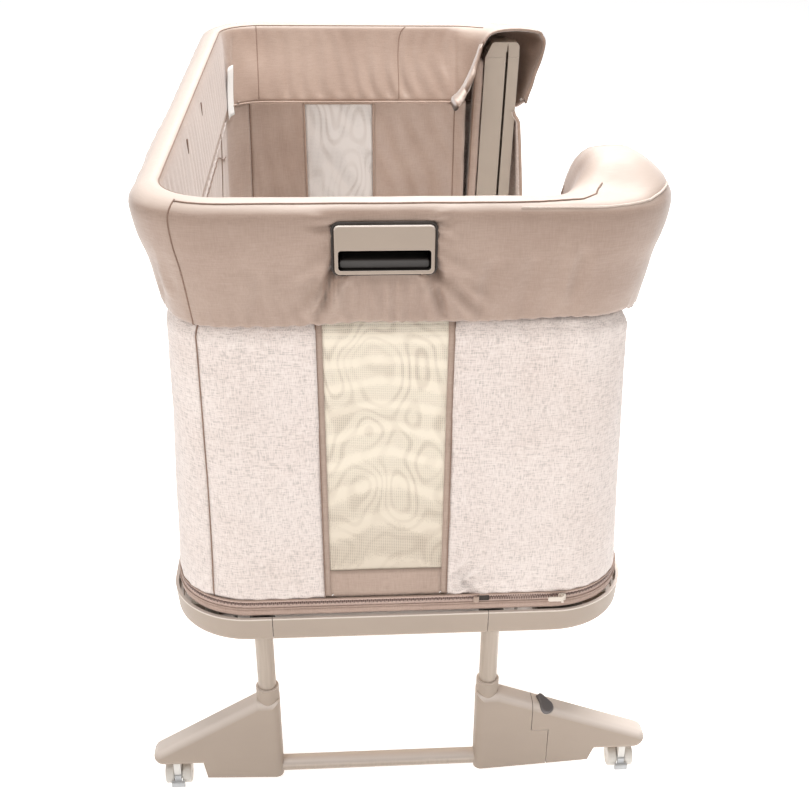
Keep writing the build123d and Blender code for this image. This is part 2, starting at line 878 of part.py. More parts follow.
with BuildPart() as end_wall:
    add(full_wall)
    add(plan_cutter(wall_split_x, cut_reach, -cut_reach, -300, zip_top_z, wall_top_z), mode=Mode.INTERSECT)
    add(drop_gap.part, mode=Mode.SUBTRACT)
    add(window, mode=Mode.SUBTRACT)
save_pair(end_wall, "wall")

with BuildPart() as left_wall:
    add(full_wall)
    add(
        plan_cutter(-cut_reach, wall_split_x - split_clearance, -cut_reach, cut_reach, zip_top_z, wall_top_z),
        mode=Mode.INTERSECT,
    )
save(left_wall, "left_wall")

mesh_outer_inset = 1.5
mesh_inner_inset = 3
with BuildPart() as mesh_windows:
    add(wall_ring(zip_top_z + 12, wall_top_z, mesh_inner_inset, mesh_outer_inset))
    add(window, mode=Mode.INTERSECT)
save(mesh_windows, "mesh_windows")

with BuildPart() as base_skirt:
    add(wall_ring(wall_bottom_z, zip_bottom_z, wall_thickness))
save(base_skirt, "base_skirt")

with BuildPart() as zip_tape:
    add(wall_ring(zip_bottom_z, zip_top_z, wall_thickness - 1))
save(zip_tape, "zip_tape")

zip_x = 187
zip_z = (zip_bottom_z + zip_top_z) / 2
zip_face_y = -451.2
zip_pin_y = zip_face_y - 5.6
zip_half_height = 4.5
pull_length = 17
with BuildPart() as zip_slider:
    with BuildSketch(Plane.XZ.offset(-zip_face_y)):
        with Locations((zip_x, zip_z)):
            RectangleRounded(9, 2 * zip_half_height, 2)
    extrude(amount=2.4)
    with BuildSketch(Plane.XY.offset(zip_z)):
        with Locations((zip_x, (zip_face_y + zip_pin_y - 1.4) / 2)):
            Rectangle(3, zip_face_y - zip_pin_y + 1.4)
    extrude(amount=zip_half_height, both=True)
    with BuildSketch(Plane.XY.offset(zip_z)):
        with Locations((zip_x, zip_pin_y - 1.6)):
            Rectangle(8, 8)
    extrude(amount=3.2, both=True, mode=Mode.SUBTRACT)
    with BuildSketch(Plane.XY.offset(zip_z)):
        with Locations((zip_x, zip_pin_y)):
            Circle(0.6)
    extrude(amount=zip_half_height, both=True)
save(zip_slider, "zip_slider")

with BuildPart() as zip_pull:
    with BuildSketch(Plane.XY.offset(zip_z)):
        with Locations((zip_x, zip_pin_y)):
            Circle(1.3)
        with Locations((zip_x - pull_length / 2, zip_pin_y)):
            Rectangle(pull_length, 1.4)
        with Locations((zip_x, zip_pin_y)):
            Circle(0.6 + running_gap, mode=Mode.SUBTRACT)
    extrude(amount=3, both=True)
    fillet(zip_pull.faces().sort_by(Axis.X)[0].edges().filter_by(Axis.Y), 2.5)
save(zip_pull, "zip_pull")


def lining_block(inset):
    """Block as wide as the lining, set in from its outer face; its right side lies past the open end."""
    levels = []
    for height in (wall_bottom_z, wall_middle_z, lining_top_z):
        half_width = wall_size(min(height, wall_top_z))[0] - wall_thickness - 1 - inset
        half_length = lining_half_length - inset
        levels.append((height, -half_width, lining_end_x + 80, half_length, lining_corner - inset))
    return loft_levels(levels)


with BuildPart() as lining:
    add(lining_block(0))
    add(lining_block(lining_thickness), mode=Mode.SUBTRACT)
    add(
        plan_cutter(lining_end_x, cut_reach, -cut_reach, cut_reach, wall_bottom_z, lining_top_z),
        mode=Mode.SUBTRACT,
    )
save(lining, "lining")


def collar_outer(inset):
    """Outside of the collar, set in by a thickness; height, half width, half length and corner radius."""
    outside = [(648, 246, 471, 70), (700, 256, 481, 76), (745, 271, 489, 85), (765, 268, 486, 85)]
    outside.append((collar_top_z, 258, 476, 80))
    levels = [
        (height - inset, inset - half_width, half_width - inset, half_length - inset, corner - inset)
        for height, half_width, half_length, corner in outside
    ]
    return loft_levels(levels)


def collar_inner(outset):
    """Space inside the collar, grown by a thickness; height, left x and half length."""
    inside = [(600, -232, 402), (collar_inner_bottom_z, -232, 404), (collar_top_z, -238, 450)]
    levels = [
        (height, left - outset, hood_inner_x + outset, half_length + outset, lining_corner + outset)
        for height, left, half_length in inside
    ]
    return loft_levels(levels)


with BuildPart() as collar_void:
    add(collar_outer(collar_thickness))
    add(collar_inner(collar_thickness), mode=Mode.SUBTRACT)

with BuildPart() as collar:
    add(collar_outer(0))
    add(collar_inner(0), mode=Mode.SUBTRACT)
    add(collar_void.part, mode=Mode.SUBTRACT)
    # the inner band ends higher than the outer one
    add(plan_cutter(-242, cut_reach, -411, 411, 600, collar_inner_bottom_z), mode=Mode.SUBTRACT)
    add(plan_cutter(100, cut_reach, near_hood_end_y, far_hood_end_y, 600, 900), mode=Mode.SUBTRACT)
    # the near hood is puffed up over the post
    with BuildSketch(Plane.XZ.offset(0.5 - near_hood_end_y)):
        with BuildLine():
            Line((256, 771), (175, 771))
            Spline((175, 771), (188, 794), (213, 800), (237, 791), (256, 771))
        make_face()
    extrude(amount=83)
    for side in (-1, 1):
        with BuildSketch(Plane.XZ.offset(-side * 600)):
            with Locations((handle_centre_x, handle_centre_z)):
                Rectangle(handle_width + 2, handle_top_z - handle_bottom_z + 2)
        extrude(amount=side * 130, mode=Mode.SUBTRACT)
save(collar, "collar")

mattress_left_x = -253
mattress_right_x = 181
with BuildPart() as mattress:
    with BuildSketch(Plane.XY.offset(panel_z + panel_thickness + 1)):
        with Locations(((mattress_left_x + mattress_right_x) / 2, 0)):
            RectangleRounded(mattress_right_x - mattress_left_x, 2 * 401, 60)
    extrude(amount=60)
    fillet(mattress.faces().sort_by(Axis.Z)[-1].edges(), 12)
save(mattress, "mattress")
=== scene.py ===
import json
import math
from collections import namedtuple

import bmesh
import bpy
from mathutils import Matrix, Vector, noise


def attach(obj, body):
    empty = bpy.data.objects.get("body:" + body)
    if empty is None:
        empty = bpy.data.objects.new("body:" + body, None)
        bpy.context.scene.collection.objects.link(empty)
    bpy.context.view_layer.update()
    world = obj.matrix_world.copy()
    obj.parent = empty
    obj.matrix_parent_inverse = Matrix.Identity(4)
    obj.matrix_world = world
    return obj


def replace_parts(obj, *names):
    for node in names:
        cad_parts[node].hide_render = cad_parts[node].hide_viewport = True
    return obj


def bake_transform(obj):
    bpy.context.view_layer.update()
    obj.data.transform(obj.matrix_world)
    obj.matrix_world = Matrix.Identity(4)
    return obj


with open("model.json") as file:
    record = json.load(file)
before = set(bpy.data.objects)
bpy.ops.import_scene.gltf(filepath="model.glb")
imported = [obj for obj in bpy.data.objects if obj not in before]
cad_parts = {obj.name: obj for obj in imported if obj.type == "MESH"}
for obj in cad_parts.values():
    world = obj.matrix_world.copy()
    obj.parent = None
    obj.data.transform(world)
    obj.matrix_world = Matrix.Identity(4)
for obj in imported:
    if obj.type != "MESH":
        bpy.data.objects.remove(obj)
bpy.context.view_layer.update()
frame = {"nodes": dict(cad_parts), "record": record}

# Bedside bassinet on its stand. All sizes below are in millimetres, in the CAD frame.

MM = 0.001


# =============================== small maths ===============================

def smooth(low, high, value):
    """Smooth step from 0 at low to 1 at high."""
    share = min(1.0, max(0.0, (value - low) / (high - low)))
    return share * share * (3 - 2 * share)


def bell(offset, width):
    """1 at no offset, fading to 0 past the width."""
    return math.exp(-((offset / width) ** 2))


def rumple(x, y, size, seed=0.0):
    """Smooth unevenness from -1 to 1, with features about size across."""
    return noise.noise(Vector((x / size, y / size, seed)))


def gathers(along, up, pitch, seed=0.0):
    """Uneven upright gathers from -1 to 1, about pitch apart."""
    drift = 0.6 * pitch * rumple(along, up, 3.2 * pitch, seed) + 0.12 * up
    wave = math.sin(2 * math.pi * (along + drift) / pitch)
    return wave * (0.55 + 0.45 * rumple(along, up * 0.4, 2.1 * pitch, seed + 9))


def crease(x, z, line):
    """Fold line pressed into fabric: start x, start z, end x, end z, depth and width."""
    start_x, start_z, end_x, end_z, depth, width = line
    along = Vector((end_x - start_x, end_z - start_z))
    offset = Vector((x - start_x, z - start_z))
    share = offset.dot(along) / along.length_squared
    if share < -0.15 or share > 1.15:
        return 0.0
    across = (along.x * offset.y - along.y * offset.x) / along.length
    fade = smooth(-0.15, 0.0, share) * (1 - smooth(0.35, 1.15, share))
    valley = bell(across, width)
    ridges = bell(across - 2 * width, width) + bell(across + 2 * width, width)
    return 2.3 * depth * fade * (0.55 * ridges - valley)


# =============================== mesh helpers ===============================

def shade_smooth(mesh, smoothly=True):
    """Sets every face of a mesh smooth or flat."""
    mesh.polygons.foreach_set("use_smooth", [smoothly] * len(mesh.polygons))


def link_piece(name, mesh, look):
    """Smooth-shaded object of a mesh, with its material."""
    shade_smooth(mesh)
    mesh.materials.append(look)
    piece = bpy.data.objects.new(name, mesh)
    bpy.context.scene.collection.objects.link(piece)
    return piece


def add_mesh(name, points, faces, look, body="basket"):
    """Piece from points in millimetres, on its body."""
    mesh = bpy.data.meshes.new(name)
    mesh.from_pydata([Vector(point) * MM for point in points], [], faces)
    mesh.update()
    piece = link_piece(name, mesh, look)
    if body:
        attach(piece, body)
    return piece


def grid(name, rows, look, body="basket", hole=None, closed=False):
    """Cloth through rows of points, left out inside hole; closed joins its two ends."""
    columns = len(rows[0])
    points = [point for row in rows for point in row]
    faces = []
    for low in range(len(rows) - 1):
        for left in range(columns if closed else columns - 1):
            right = (left + 1) % columns
            face = (
                low * columns + left,
                (low + 1) * columns + left,
                (low + 1) * columns + right,
                low * columns + right,
            )
            middle = (points[face[0]] + points[face[2]]) / 2
            if hole is None or not hole(middle):
                faces.append(face)
    piece = add_mesh(name, points, faces, look, body)
    loose_out(piece)
    return piece


def loose_out(piece):
    """Removes points that no face uses."""
    work = bmesh.new()
    work.from_mesh(piece.data)
    loose = [vertex for vertex in work.verts if not vertex.link_faces]
    bmesh.ops.delete(work, geom=loose, context="VERTS")
    work.to_mesh(piece.data)
    work.free()


def outward_faces(piece, fill=False):
    """Points a closed piece's faces outwards, after filling its open ends if asked to."""
    work = bmesh.new()
    work.from_mesh(piece.data)
    if fill:
        rim = [edge for edge in work.edges if edge.is_boundary]
        bmesh.ops.holes_fill(work, edges=rim, sides=0)
    bmesh.ops.recalc_face_normals(work, faces=work.faces)
    work.to_mesh(piece.data)
    work.free()


def displaced(rows, depth, closed=False):
    """Rows of points moved along the surface's normal by depth(point), in millimetres."""
    columns = len(rows[0])
    moved = []
    for low, row in enumerate(rows):
        below = rows[max(0, low - 1)]
        above = rows[min(len(rows) - 1, low + 1)]
        new_row = []
        for left, point in enumerate(row):
            before = (left - 1) % columns if closed else max(0, left - 1)
            after = (left + 1) % columns if closed else min(columns - 1, left + 1)
            normal = (above[left] - below[left]).cross(row[after] - row[before])
            if normal.length > 1e-9:
                normal.normalize()
            new_row.append(point + normal * depth(point))
        moved.append(new_row)
    return moved


def thicken(piece, thickness, offset=-1.0):
    """Gives cloth its thickness; offset -1 grows it inwards, +1 outwards."""
    solid = piece.modifiers.new("thickness", "SOLIDIFY")
    solid.thickness = thickness * MM
    solid.offset = offset
    return piece


def cloth_panel(name, rows, look, thickness, offset=-1.0):
    """Sheet of cloth through rows of points, with its thickness."""
    piece = grid(name, rows, look)
    thicken(piece, thickness, offset)
    return piece


def cord_mesh(name, path, radius, look, body="basket", closed=False, sides=8):
    """Round seam, piping or stitch that follows a path of points."""
    count = len(path)
    points = []
    side = None
    for index, point in enumerate(path):
        before = path[(index - 1) % count] if closed else path[max(0, index - 1)]
        after = path[(index + 1) % count] if closed else path[min(count - 1, index + 1)]
        forward = (after - before).normalized()
        if side is None:
            seed = Vector((0, 0, 1)) if abs(forward.z) < 0.9 else Vector((1, 0, 0))
            side = forward.cross(seed)
        side = (side - forward * side.dot(forward)).normalized()
        up = forward.cross(side)
        for step in range(sides):
            turn = 2 * math.pi * step / sides
            points.append(point + (side * math.cos(turn) + up * math.sin(turn)) * radius)
    faces = []
    for index in range(count if closed else count - 1):
        here = index * sides
        there = ((index + 1) % count) * sides
        for step in range(sides):
            following = (step + 1) % sides
            faces.append((here + step, here + following, there + following, there + step))
    if not closed:
        faces.append(tuple(reversed(range(sides))))
        faces.append(tuple(range((count - 1) * sides, count * sides)))
    return add_mesh(name, points, faces, look, body)


# =============================== materials ===============================

def linear(colour):
    """Scene-linear RGBA of a 0-255 display colour."""
    channels = [(value / 255) for value in colour]
    return tuple(
        value / 12.92 if value <= 0.04045 else ((value + 0.055) / 1.055) ** 2.4
        for value in channels
    ) + (1.0,)


def add_node(tree, kind, inputs=None, **properties):
    """Shader node with its properties, and its inputs set or linked."""
    node = tree.nodes.new("ShaderNode" + kind)
    for key, value in properties.items():
        setattr(node, key, value)
    for socket, value in (inputs or {}).items():
        if isinstance(value, bpy.types.NodeSocket):
            tree.links.new(value, node.inputs[socket])
        else:
            node.inputs[socket].default_value = value
    return node


def place(tree, sizes):
    """Object coordinates in units of the given feature sizes, in millimetres."""
    where = add_node(tree, "TexCoord").outputs["Object"]
    scale = tuple(1 / (size * MM) for size in sizes)
    return add_node(tree, "Mapping", {"Vector": where, "Scale": scale}).outputs["Vector"]


def cloud(tree, sizes, detail=2.0, rough=0.5):
    """Noise from 0 to 1 with features of the given sizes."""
    sockets = {"Vector": place(tree, sizes), "Scale": 1.0, "Detail": detail, "Roughness": rough}
    return add_node(tree, "TexNoise", sockets).outputs[0]


def remap(tree, value, low, high, new_low=0.0, new_high=1.0):
    """Value from low..high to new_low..new_high, clamped."""
    sockets = {
        "Value": value,
        "From Min": low,
        "From Max": high,
        "To Min": new_low,
        "To Max": new_high,
    }
    return add_node(tree, "MapRange", sockets).outputs[0]


def combine(tree, operation, first, second):
    """Result of a maths node."""
    return add_node(tree, "Math", {0: first, 1: second}, operation=operation).outputs[0]


def mixed(tree, factor, first, second):
    """Colour between first and second."""
    sockets = {0: factor, 6: first, 7: second}
    return add_node(tree, "Mix", sockets, data_type="RGBA").outputs[2]


def height_of(tree, axis):
    """One of the object coordinates, in metres."""
    where = add_node(tree, "TexCoord").outputs["Object"]
    return add_node(tree, "SeparateXYZ", {0: where}).outputs[axis]


def new_look(name, slot, **sockets):
    """Empty principled material; returns it with its node tree and shader."""
    look = bpy.data.materials.new(name)
    look.use_nodes = True
    look["slot"] = slot
    tree = look.node_tree
    shader = tree.nodes["Principled BSDF"]
    for socket, value in sockets.items():
        shader.inputs[socket.replace("_", " ")].default_value = value
    return look, tree, shader


def set_bump(tree, shader, height, depth):
    """Bump of the given depth, in millimetres, from a height between 0 and 1."""
    sockets = {"Strength": 1.0, "Distance": depth * MM, "Height": height}
    bump = add_node(tree, "Bump", sockets).outputs[0]
    tree.links.new(bump, shader.inputs["Normal"])


def painted_top_light_mask(tree, low, high):
    """Painted top light mask: 0 on faces looking sideways or down, 1 on faces looking up."""
    normal = add_node(tree, "NewGeometry").outputs["Normal"]
    upward = add_node(tree, "SeparateXYZ", {0: normal}).outputs[2]
    return remap(tree, upward, low, high)


def fabric(
    name, slot, colour, shade, light, rough, sheen, thread, depth, fleck, slub=14, crown=None,
):
    """Woven cloth: slubbed, flecked threads, cloudy wear, sheen and a paler top painted as light.
    """
    look, tree, shader = new_look(name, slot, Sheen_Weight=sheen, Sheen_Roughness=0.45)
    across = cloud(tree, (slub, slub, thread), 1.0)
    upright = cloud(tree, (thread, thread, slub), 1.0)
    weave = combine(tree, "ADD", across, upright)
    wear = cloud(tree, (70, 70, 70), 3.0)
    body_colour = mixed(tree, remap(tree, wear, 0.3, 0.7), linear(shade), linear(colour))
    flecks = remap(tree, weave, 1.02, 1.32, 0.0, fleck)
    pale = remap(tree, weave, 0.98, 0.7, 0.0, fleck)
    body_colour = mixed(tree, flecks, body_colour, linear([value * 0.66 for value in colour]))
    body_colour = mixed(tree, pale, body_colour, linear(light))
    # painted top light: faces that look up are mixed towards the crown colour
    if crown:
        body_colour = mixed(tree, painted_top_light_mask(tree, 0.5, 0.95), body_colour, linear(crown))
    tree.links.new(body_colour, shader.inputs["Base Color"])
    gloss = remap(tree, weave, 0.7, 1.3, rough - 0.07, rough + 0.08)
    tree.links.new(gloss, shader.inputs["Roughness"])
    soft = cloud(tree, (22, 22, 30), 2.0)
    height = combine(tree, "ADD", weave, combine(tree, "MULTIPLY", soft, 3.0))
    set_bump(tree, shader, height, depth)
    return look


# Height of the band painted pale as a highlight along a moulded rim.
painted_lip_highlight_height = 2


def moulded(name, slot, colour, light, rough, grain, depth, lip=None, painted_recess_shade_box=None, crown=None):
    """Moulded plastic: fine grain, cloudy tone and rubbed edges.

    lip is the height of a rim painted pale as a highlight, painted_recess_shade_box the place of a
    recess painted dark as shade, crown the tone painted on top as light from above.
    """
    look, tree, shader = new_look(name, slot, Coat_Weight=0.04, Coat_Roughness=0.4)
    tone = cloud(tree, (110, 110, 60), 3.0)
    base = mixed(
        tree,
        remap(tree, tone, 0.25, 0.75, 0.0, 1.0),
        linear([value * 0.965 for value in colour]),
        linear(colour),
    )
    rounded = add_node(tree, "Bevel", {"Radius": 1.3 * MM}, samples=4).outputs[0]
    flat = add_node(tree, "NewGeometry").outputs["Normal"]
    facing = add_node(tree, "VectorMath", {0: rounded, 1: flat}, operation="DOT_PRODUCT")
    facing = facing.outputs["Value"]
    scratch = cloud(tree, (9, 9, 9), 4.0)
    rub = combine(tree, "MULTIPLY", remap(tree, facing, 0.995, 0.9), remap(tree, scratch, 0.3, 0.6))
    base = mixed(tree, combine(tree, "MULTIPLY", rub, 0.55), base, linear(light))
    # painted top light: upward faces are mixed towards the crown colour
    if crown:
        base = mixed(tree, painted_top_light_mask(tree, 0.05, 0.75), base, linear(crown))
    # painted highlight: a band at the rim's height is mixed towards the light colour
    if lip:
        rim = inside(tree, ((2, lip, lip + painted_lip_highlight_height),))
        base = mixed(tree, rim, base, linear(light))
    # painted shade: inside the recess box the plastic is coloured near black
    if painted_recess_shade_box:
        base = mixed(tree, inside(tree, painted_recess_shade_box), base, linear((44, 40, 37)))
    tree.links.new(base, shader.inputs["Base Color"])
    fine = cloud(tree, (grain, grain, grain), 2.0, 0.6)
    gloss = remap(tree, combine(tree, "ADD", fine, scratch), 0.7, 1.3, rough - 0.06, rough + 0.08)
    tree.links.new(gloss, shader.inputs["Roughness"])
    set_bump(tree, shader, fine, depth)
    return look


def inside(tree, box):
    """1 inside a box of (axis, low, high) in millimetres; along Y it counts on both sides."""
    result = None
    for axis, low, high in box:
        value = height_of(tree, axis)
        if axis == 1:
            value = combine(tree, "ABSOLUTE", value, 0.0)
        above = combine(tree, "GREATER_THAN", value, low * MM)
        below = combine(tree, "LESS_THAN", value, high * MM)
        both = combine(tree, "MULTIPLY", above, below)
        result = both if result is None else combine(tree, "MULTIPLY", result, both)
    return result


def metal(name, slot, colour, rough, metallic, grain, crown=None):
    """Painted or bright tube: fine orange peel and faint rubbing along it."""
    look, tree, shader = new_look(name, slot, Metallic=metallic)
    streak = cloud(tree, (3, 3, 90), 3.0)
    base = mixed(
        tree,
        remap(tree, streak, 0.3, 0.7),
        linear([value * 0.93 for value in colour]),
        linear(colour),
    )
    # painted top light: upward faces are mixed towards the crown colour
    if crown:
        base = mixed(tree, painted_top_light_mask(tree, 0.0, 0.7), base, linear(crown))
    tree.links.new(base, shader.inputs["Base Color"])
    gloss = remap(tree, streak, 0.3, 0.7, rough - 0.06, rough + 0.08)
    tree.links.new(gloss, shader.inputs["Roughness"])
    set_bump(tree, shader, cloud(tree, (grain, grain, grain), 2.0), 0.05)
    return look


def net_fabric(name, slot, thread_colour, back_colour, swirl, see_through):
    """Knitted mesh in two layers: fine cells over a watered pattern of the layer behind."""
    look, tree, shader = new_look(name, slot, Sheen_Weight=0.2, Roughness=0.55)
    cell = add_node(
        tree,
        "TexVoronoi",
        {"Vector": place(tree, (2.1, 2.1, 2.1)), "Scale": 1.0, "Randomness": 0.12},
        feature="DISTANCE_TO_EDGE",
    ).outputs["Distance"]
    thread = remap(tree, cell, 0.30, 0.12)
    flow = cloud(tree, (swirl, swirl * 4, swirl * 1.6), 0.8)
    rings = combine(tree, "SINE", combine(tree, "MULTIPLY", flow, 95.0), 0.0)
    patches = cloud(tree, (45, 180, 60), 1.0)
    strength = remap(tree, patches, 0.3, 0.65, 0.1, 0.5)
    dark = combine(tree, "MULTIPLY", remap(tree, rings, -0.2, 0.9), strength)
    back = mixed(tree, dark, linear(thread_colour), linear(back_colour))
    low_shade = remap(tree, height_of(tree, 2), 480 * MM, 340 * MM, 0.0, 0.6)
    back = mixed(tree, low_shade, back, linear(back_colour))
    face = mixed(tree, combine(tree, "MULTIPLY", thread, 0.55), back, linear(thread_colour))
    tree.links.new(face, shader.inputs["Base Color"])
    alpha = remap(tree, thread, 0.0, 1.0, see_through, 1.0)
    tree.links.new(alpha, shader.inputs["Alpha"])
    set_bump(tree, shader, thread, 0.25)
    return look


# Box of the handle recesses, painted dark there as shade.
handle_recess_shade_box = ((0, -66.6, 22.6), (1, 400, 490.2), (2, 711.7, 732.3))
# The collar's crown colour paints its upward faces paler, as top light.
collar_look = fabric(
    "collar_cloth", "collar_satin", (170, 146, 131), (159, 134, 119), (192, 171, 157),
    0.5, 0.4, 0.9, 0.12, 0.14, crown=(204, 187, 175),
)
inner_look = fabric(
    "lining_cloth", "lining_satin", (182, 160, 147), (170, 147, 133), (202, 184, 172),
    0.55, 0.35, 0.9, 0.12, 0.14,
)
linen_look = fabric(
    "linen_cloth", "linen", (226, 213, 206), (220, 205, 197), (240, 231, 225),
    0.74, 0.25, 0.95, 0.26, 0.5, 8,
)
binding_look = fabric(
    "binding_cloth", "lining_satin", (176, 152, 137), (166, 142, 127), (196, 174, 160),
    0.6, 0.2, 0.8, 0.1, 0.2,
)
seam_look = fabric(
    "seam_thread", "lining_satin", (142, 114, 97), (126, 100, 85), (170, 144, 128),
    0.65, 0.15, 0.5, 0.08, 0.3, 3,
)
piping_look = fabric(
    "piping_cloth", "collar_satin", (222, 206, 194), (212, 195, 182), (238, 226, 217),
    0.6, 0.2, 0.6, 0.08, 0.15, 4,
)
mattress_look = fabric(
    "mattress_cloth", "mattress_white", (236, 231, 224), (228, 222, 214), (246, 243, 239),
    0.75, 0.25, 1.1, 0.2, 0.25,
)
label_look = fabric(
    "label_cloth", "mattress_white", (244, 243, 240), (238, 236, 232), (250, 249, 247),
    0.45, 0.1, 0.5, 0.05, 0.1, 3,
)
tape_look = fabric(
    "zip_tape_cloth", "zip_rose", (206, 180, 168), (198, 171, 158), (222, 200, 190),
    0.62, 0.2, 0.7, 0.12, 0.35, 4,
)
skirt_look = fabric(
    "skirt_cloth", "zip_rose", (178, 152, 138), (168, 142, 128), (198, 174, 160),
    0.66, 0.2, 0.8, 0.12, 0.25,
)
gap_look = fabric(
    "inner_shade_cloth", "lever_dark", (62, 54, 49), (54, 47, 43), (78, 68, 62),
    0.8, 0.05, 0.8, 0.1, 0.2,
)
mesh_look = net_fabric("window_mesh", "mesh_cream", (232, 220, 201), (142, 116, 94), 62, 0.84)
inner_mesh_look = net_fabric(
    "inner_window_mesh", "mesh_cream", (226, 220, 216), (160, 142, 130), 80, 0.8,
)
teeth_look = moulded("zip_teeth", "zip_rose", (112, 90, 82), (150, 126, 116), 0.42, 0.4, 0.03)

plastic_table = (
    ("grey_button", "button_grey", (106, 100, 99), (140, 134, 132), 0.5, 0.4, 0.03),
    ("dark_lever", "lever_dark", (62, 57, 54), (96, 90, 86), 0.36, 0.4, 0.02),
    ("post_plastic_skin", "post_plastic", (176, 162, 148), (208, 196, 184), 0.5, 0.5, 0.03),
    ("bush_plastic_skin", "bush_plastic", (92, 88, 86), (120, 116, 112), 0.5, 0.5, 0.03),
    ("base_board_skin", "base_board", (200, 186, 170), (218, 206, 194), 0.7, 0.8, 0.05),
    ("caster_shell", "caster_white", (232, 228, 222), (244, 242, 238), 0.42, 0.4, 0.02),
    ("wheel_tread", "wheel_white", (222, 216, 208), (238, 234, 228), 0.55, 0.4, 0.04),
    ("brake_pedal", "caster_grey", (202, 203, 204), (226, 227, 228), 0.45, 0.4, 0.03),
    ("zip_cream_paint", "zip_cream", (226, 212, 198), (240, 230, 220), 0.38, 0.4, 0.02),
)
metal_table = (
    # The leg paint's last colour is its painted top light.
    ("leg_paint", "tube_paint", (178, 163, 149), 0.36, 0.25, 0.9, (226, 213, 203)),
    ("frame_paint_coat", "frame_paint", (186, 176, 166), 0.45, 0.2, 0.9),
    ("sleeve_steel_skin", "sleeve_steel", (170, 168, 164), 0.35, 0.85, 0.7),
    ("pin_steel_skin", "pin_steel", (178, 177, 175), 0.3, 0.95, 0.6),
)
cad_looks = {row[1]: moulded(*row) for row in plastic_table}
cad_looks.update({row[1]: metal(*row) for row in metal_table})
# Greige plastic with a painted highlight on the tray's lip, painted shade in the handle recesses
# and painted top light.
cad_looks["plastic_greige"] = moulded(
    "greige_plastic", "plastic_greige", (171, 154, 139), (212, 200, 188), 0.5, 0.5, 0.03,
    lip=272.0, painted_recess_shade_box=handle_recess_shade_box, crown=(226, 213, 203),
)
slots = {part["node"]: part["material_slot"] for part in frame["record"]["subparts"]}
for node_name, node_object in frame["nodes"].items():
    if slots[node_name] in cad_looks:
        for material_slot in node_object.material_slots:
            material_slot.material = cad_looks[slots[node_name]]


# =============================== plan of the basket ===============================
# A station runs round the basket: -3 near open end, -1 to 1 near face from right to left,
# 1 to 2 corner, 2 to 3 left side, 3 to 4 corner, 4 to 5 far face, 7 far open end.

Ring = namedtuple("Ring", "z left right half corner right_start")
straight_x = 176
open_foot_y = 392
open_head_y = 440
window_left = -91
window_right = 50
split_station = 1.33
wall_bottom = 300
wall_top = 652


def right_corner(share, ring, open_y):
    """Plan point on a right-hand corner, then along the return to the open side."""
    straight = ring.half - ring.corner
    last_turn = math.acos(min(1.0, max(0.0, (open_y - straight) / ring.corner)))
    reach = ring.right - ring.right_start
    arc = last_turn * (reach + ring.corner) / 2
    travelled = share * (arc + max(0.0, straight - open_y))
    if travelled < arc:
        turn = last_turn * travelled / arc
        x = ring.right_start + reach * math.sin(turn)
        return x, straight + ring.corner * math.cos(turn)
    return ring.right_start + reach * math.sin(last_turn), straight - (travelled - arc)


def open_edge(z):
    """Distance from the middle, along Y, at which the end walls stop at height z."""
    share = min(1.0, max(0.0, (z - wall_bottom) / (wall_top - wall_bottom)))
    return open_foot_y + share * (open_head_y - open_foot_y)


def ring_point(station, ring, near_end=None, far_end=None):
    """Point of a ring at a station; the ends are the Y where it stops at the open side."""
    near_end = -open_edge(ring.z) if near_end is None else near_end
    far_end = open_edge(ring.z) if far_end is None else far_end
    straight = ring.half - ring.corner
    reach = ring.left - straight_x
    if station < -1:
        x, y = right_corner(-(station + 1) / 2, ring, -near_end)
        return Vector((x, -y, ring.z))
    if station <= 0:
        return Vector((-station * ring.right_start, -ring.half, ring.z))
    if station <= 1:
        return Vector((-station * straight_x, -ring.half, ring.z))
    if 2 < station <= 3:
        return Vector((-ring.left, (2 * station - 5) * straight, ring.z))
    if station <= 4:
        side = -1 if station <= 2 else 1
        turn = (station - 1 if side < 0 else 4 - station) * math.pi / 2
        x = -straight_x - reach * math.sin(turn)
        return Vector((x, side * (straight + ring.corner * math.cos(turn)), ring.z))
    if station <= 5:
        x = -straight_x + (station - 4) * (straight_x + ring.right_start)
        return Vector((x, ring.half, ring.z))
    x, y = right_corner((station - 5) / 2, ring, far_end)
    return Vector((x, y, ring.z))


def near_station(x):
    """Station of an x on the near face."""
    return -x / straight_x


def far_station(x):
    """Station of an x on the far face."""
    return 4 + (x + straight_x) / (2 * straight_x)


middle_ring = Ring(650, 245, 245, 471, 70, straight_x)


def walk(stops, step):
    """Stations about step apart that pass through every stop and every whole segment end."""
    wholes = [whole for whole in range(-1, 6) if stops[0] < whole < stops[-1]]
    ends = sorted(set(stops) | set(wholes))
    result = [ends[0]]
    for start, end in zip(ends, ends[1:]):
        samples = [ring_point(start + (end - start) * i / 8, middle_ring) for i in range(9)]
        length = sum((b - a).length for a, b in zip(samples, samples[1:]))
        count = max(1, round(length / step))
        result += [start + (end - start) * index / count for index in range(1, count + 1)]
    return result


def levels(low, high, step):
    """Heights about step apart, both ends included."""
    count = max(1, round((high - low) / step))
    return [low + (high - low) * index / count for index in range(count + 1)]


def quadratic(z, heights, values):
    """Value at z of the curve through three heights."""
    total = 0.0
    for i, value in enumerate(values):
        weight = 1.0
        for j, height in enumerate(heights):
            if j != i:
                weight *= (z - height) / (heights[i] - height)
        total += weight * value
    return total


wall_heights = (276, 540, 647)
wall_widths = (268, 250, 245)
lining_gap = 9


def wall_ring(z, inset=0.0):
    """Outer ring of the fabric walls at height z."""
    half_width, half_length, corner = (
        quadratic(z, wall_heights, values) - inset
        for values in (wall_widths, (450, 462, 470), (88, 75, 70))
    )
    return Ring(z, half_width, half_width, half_length, corner, straight_x)


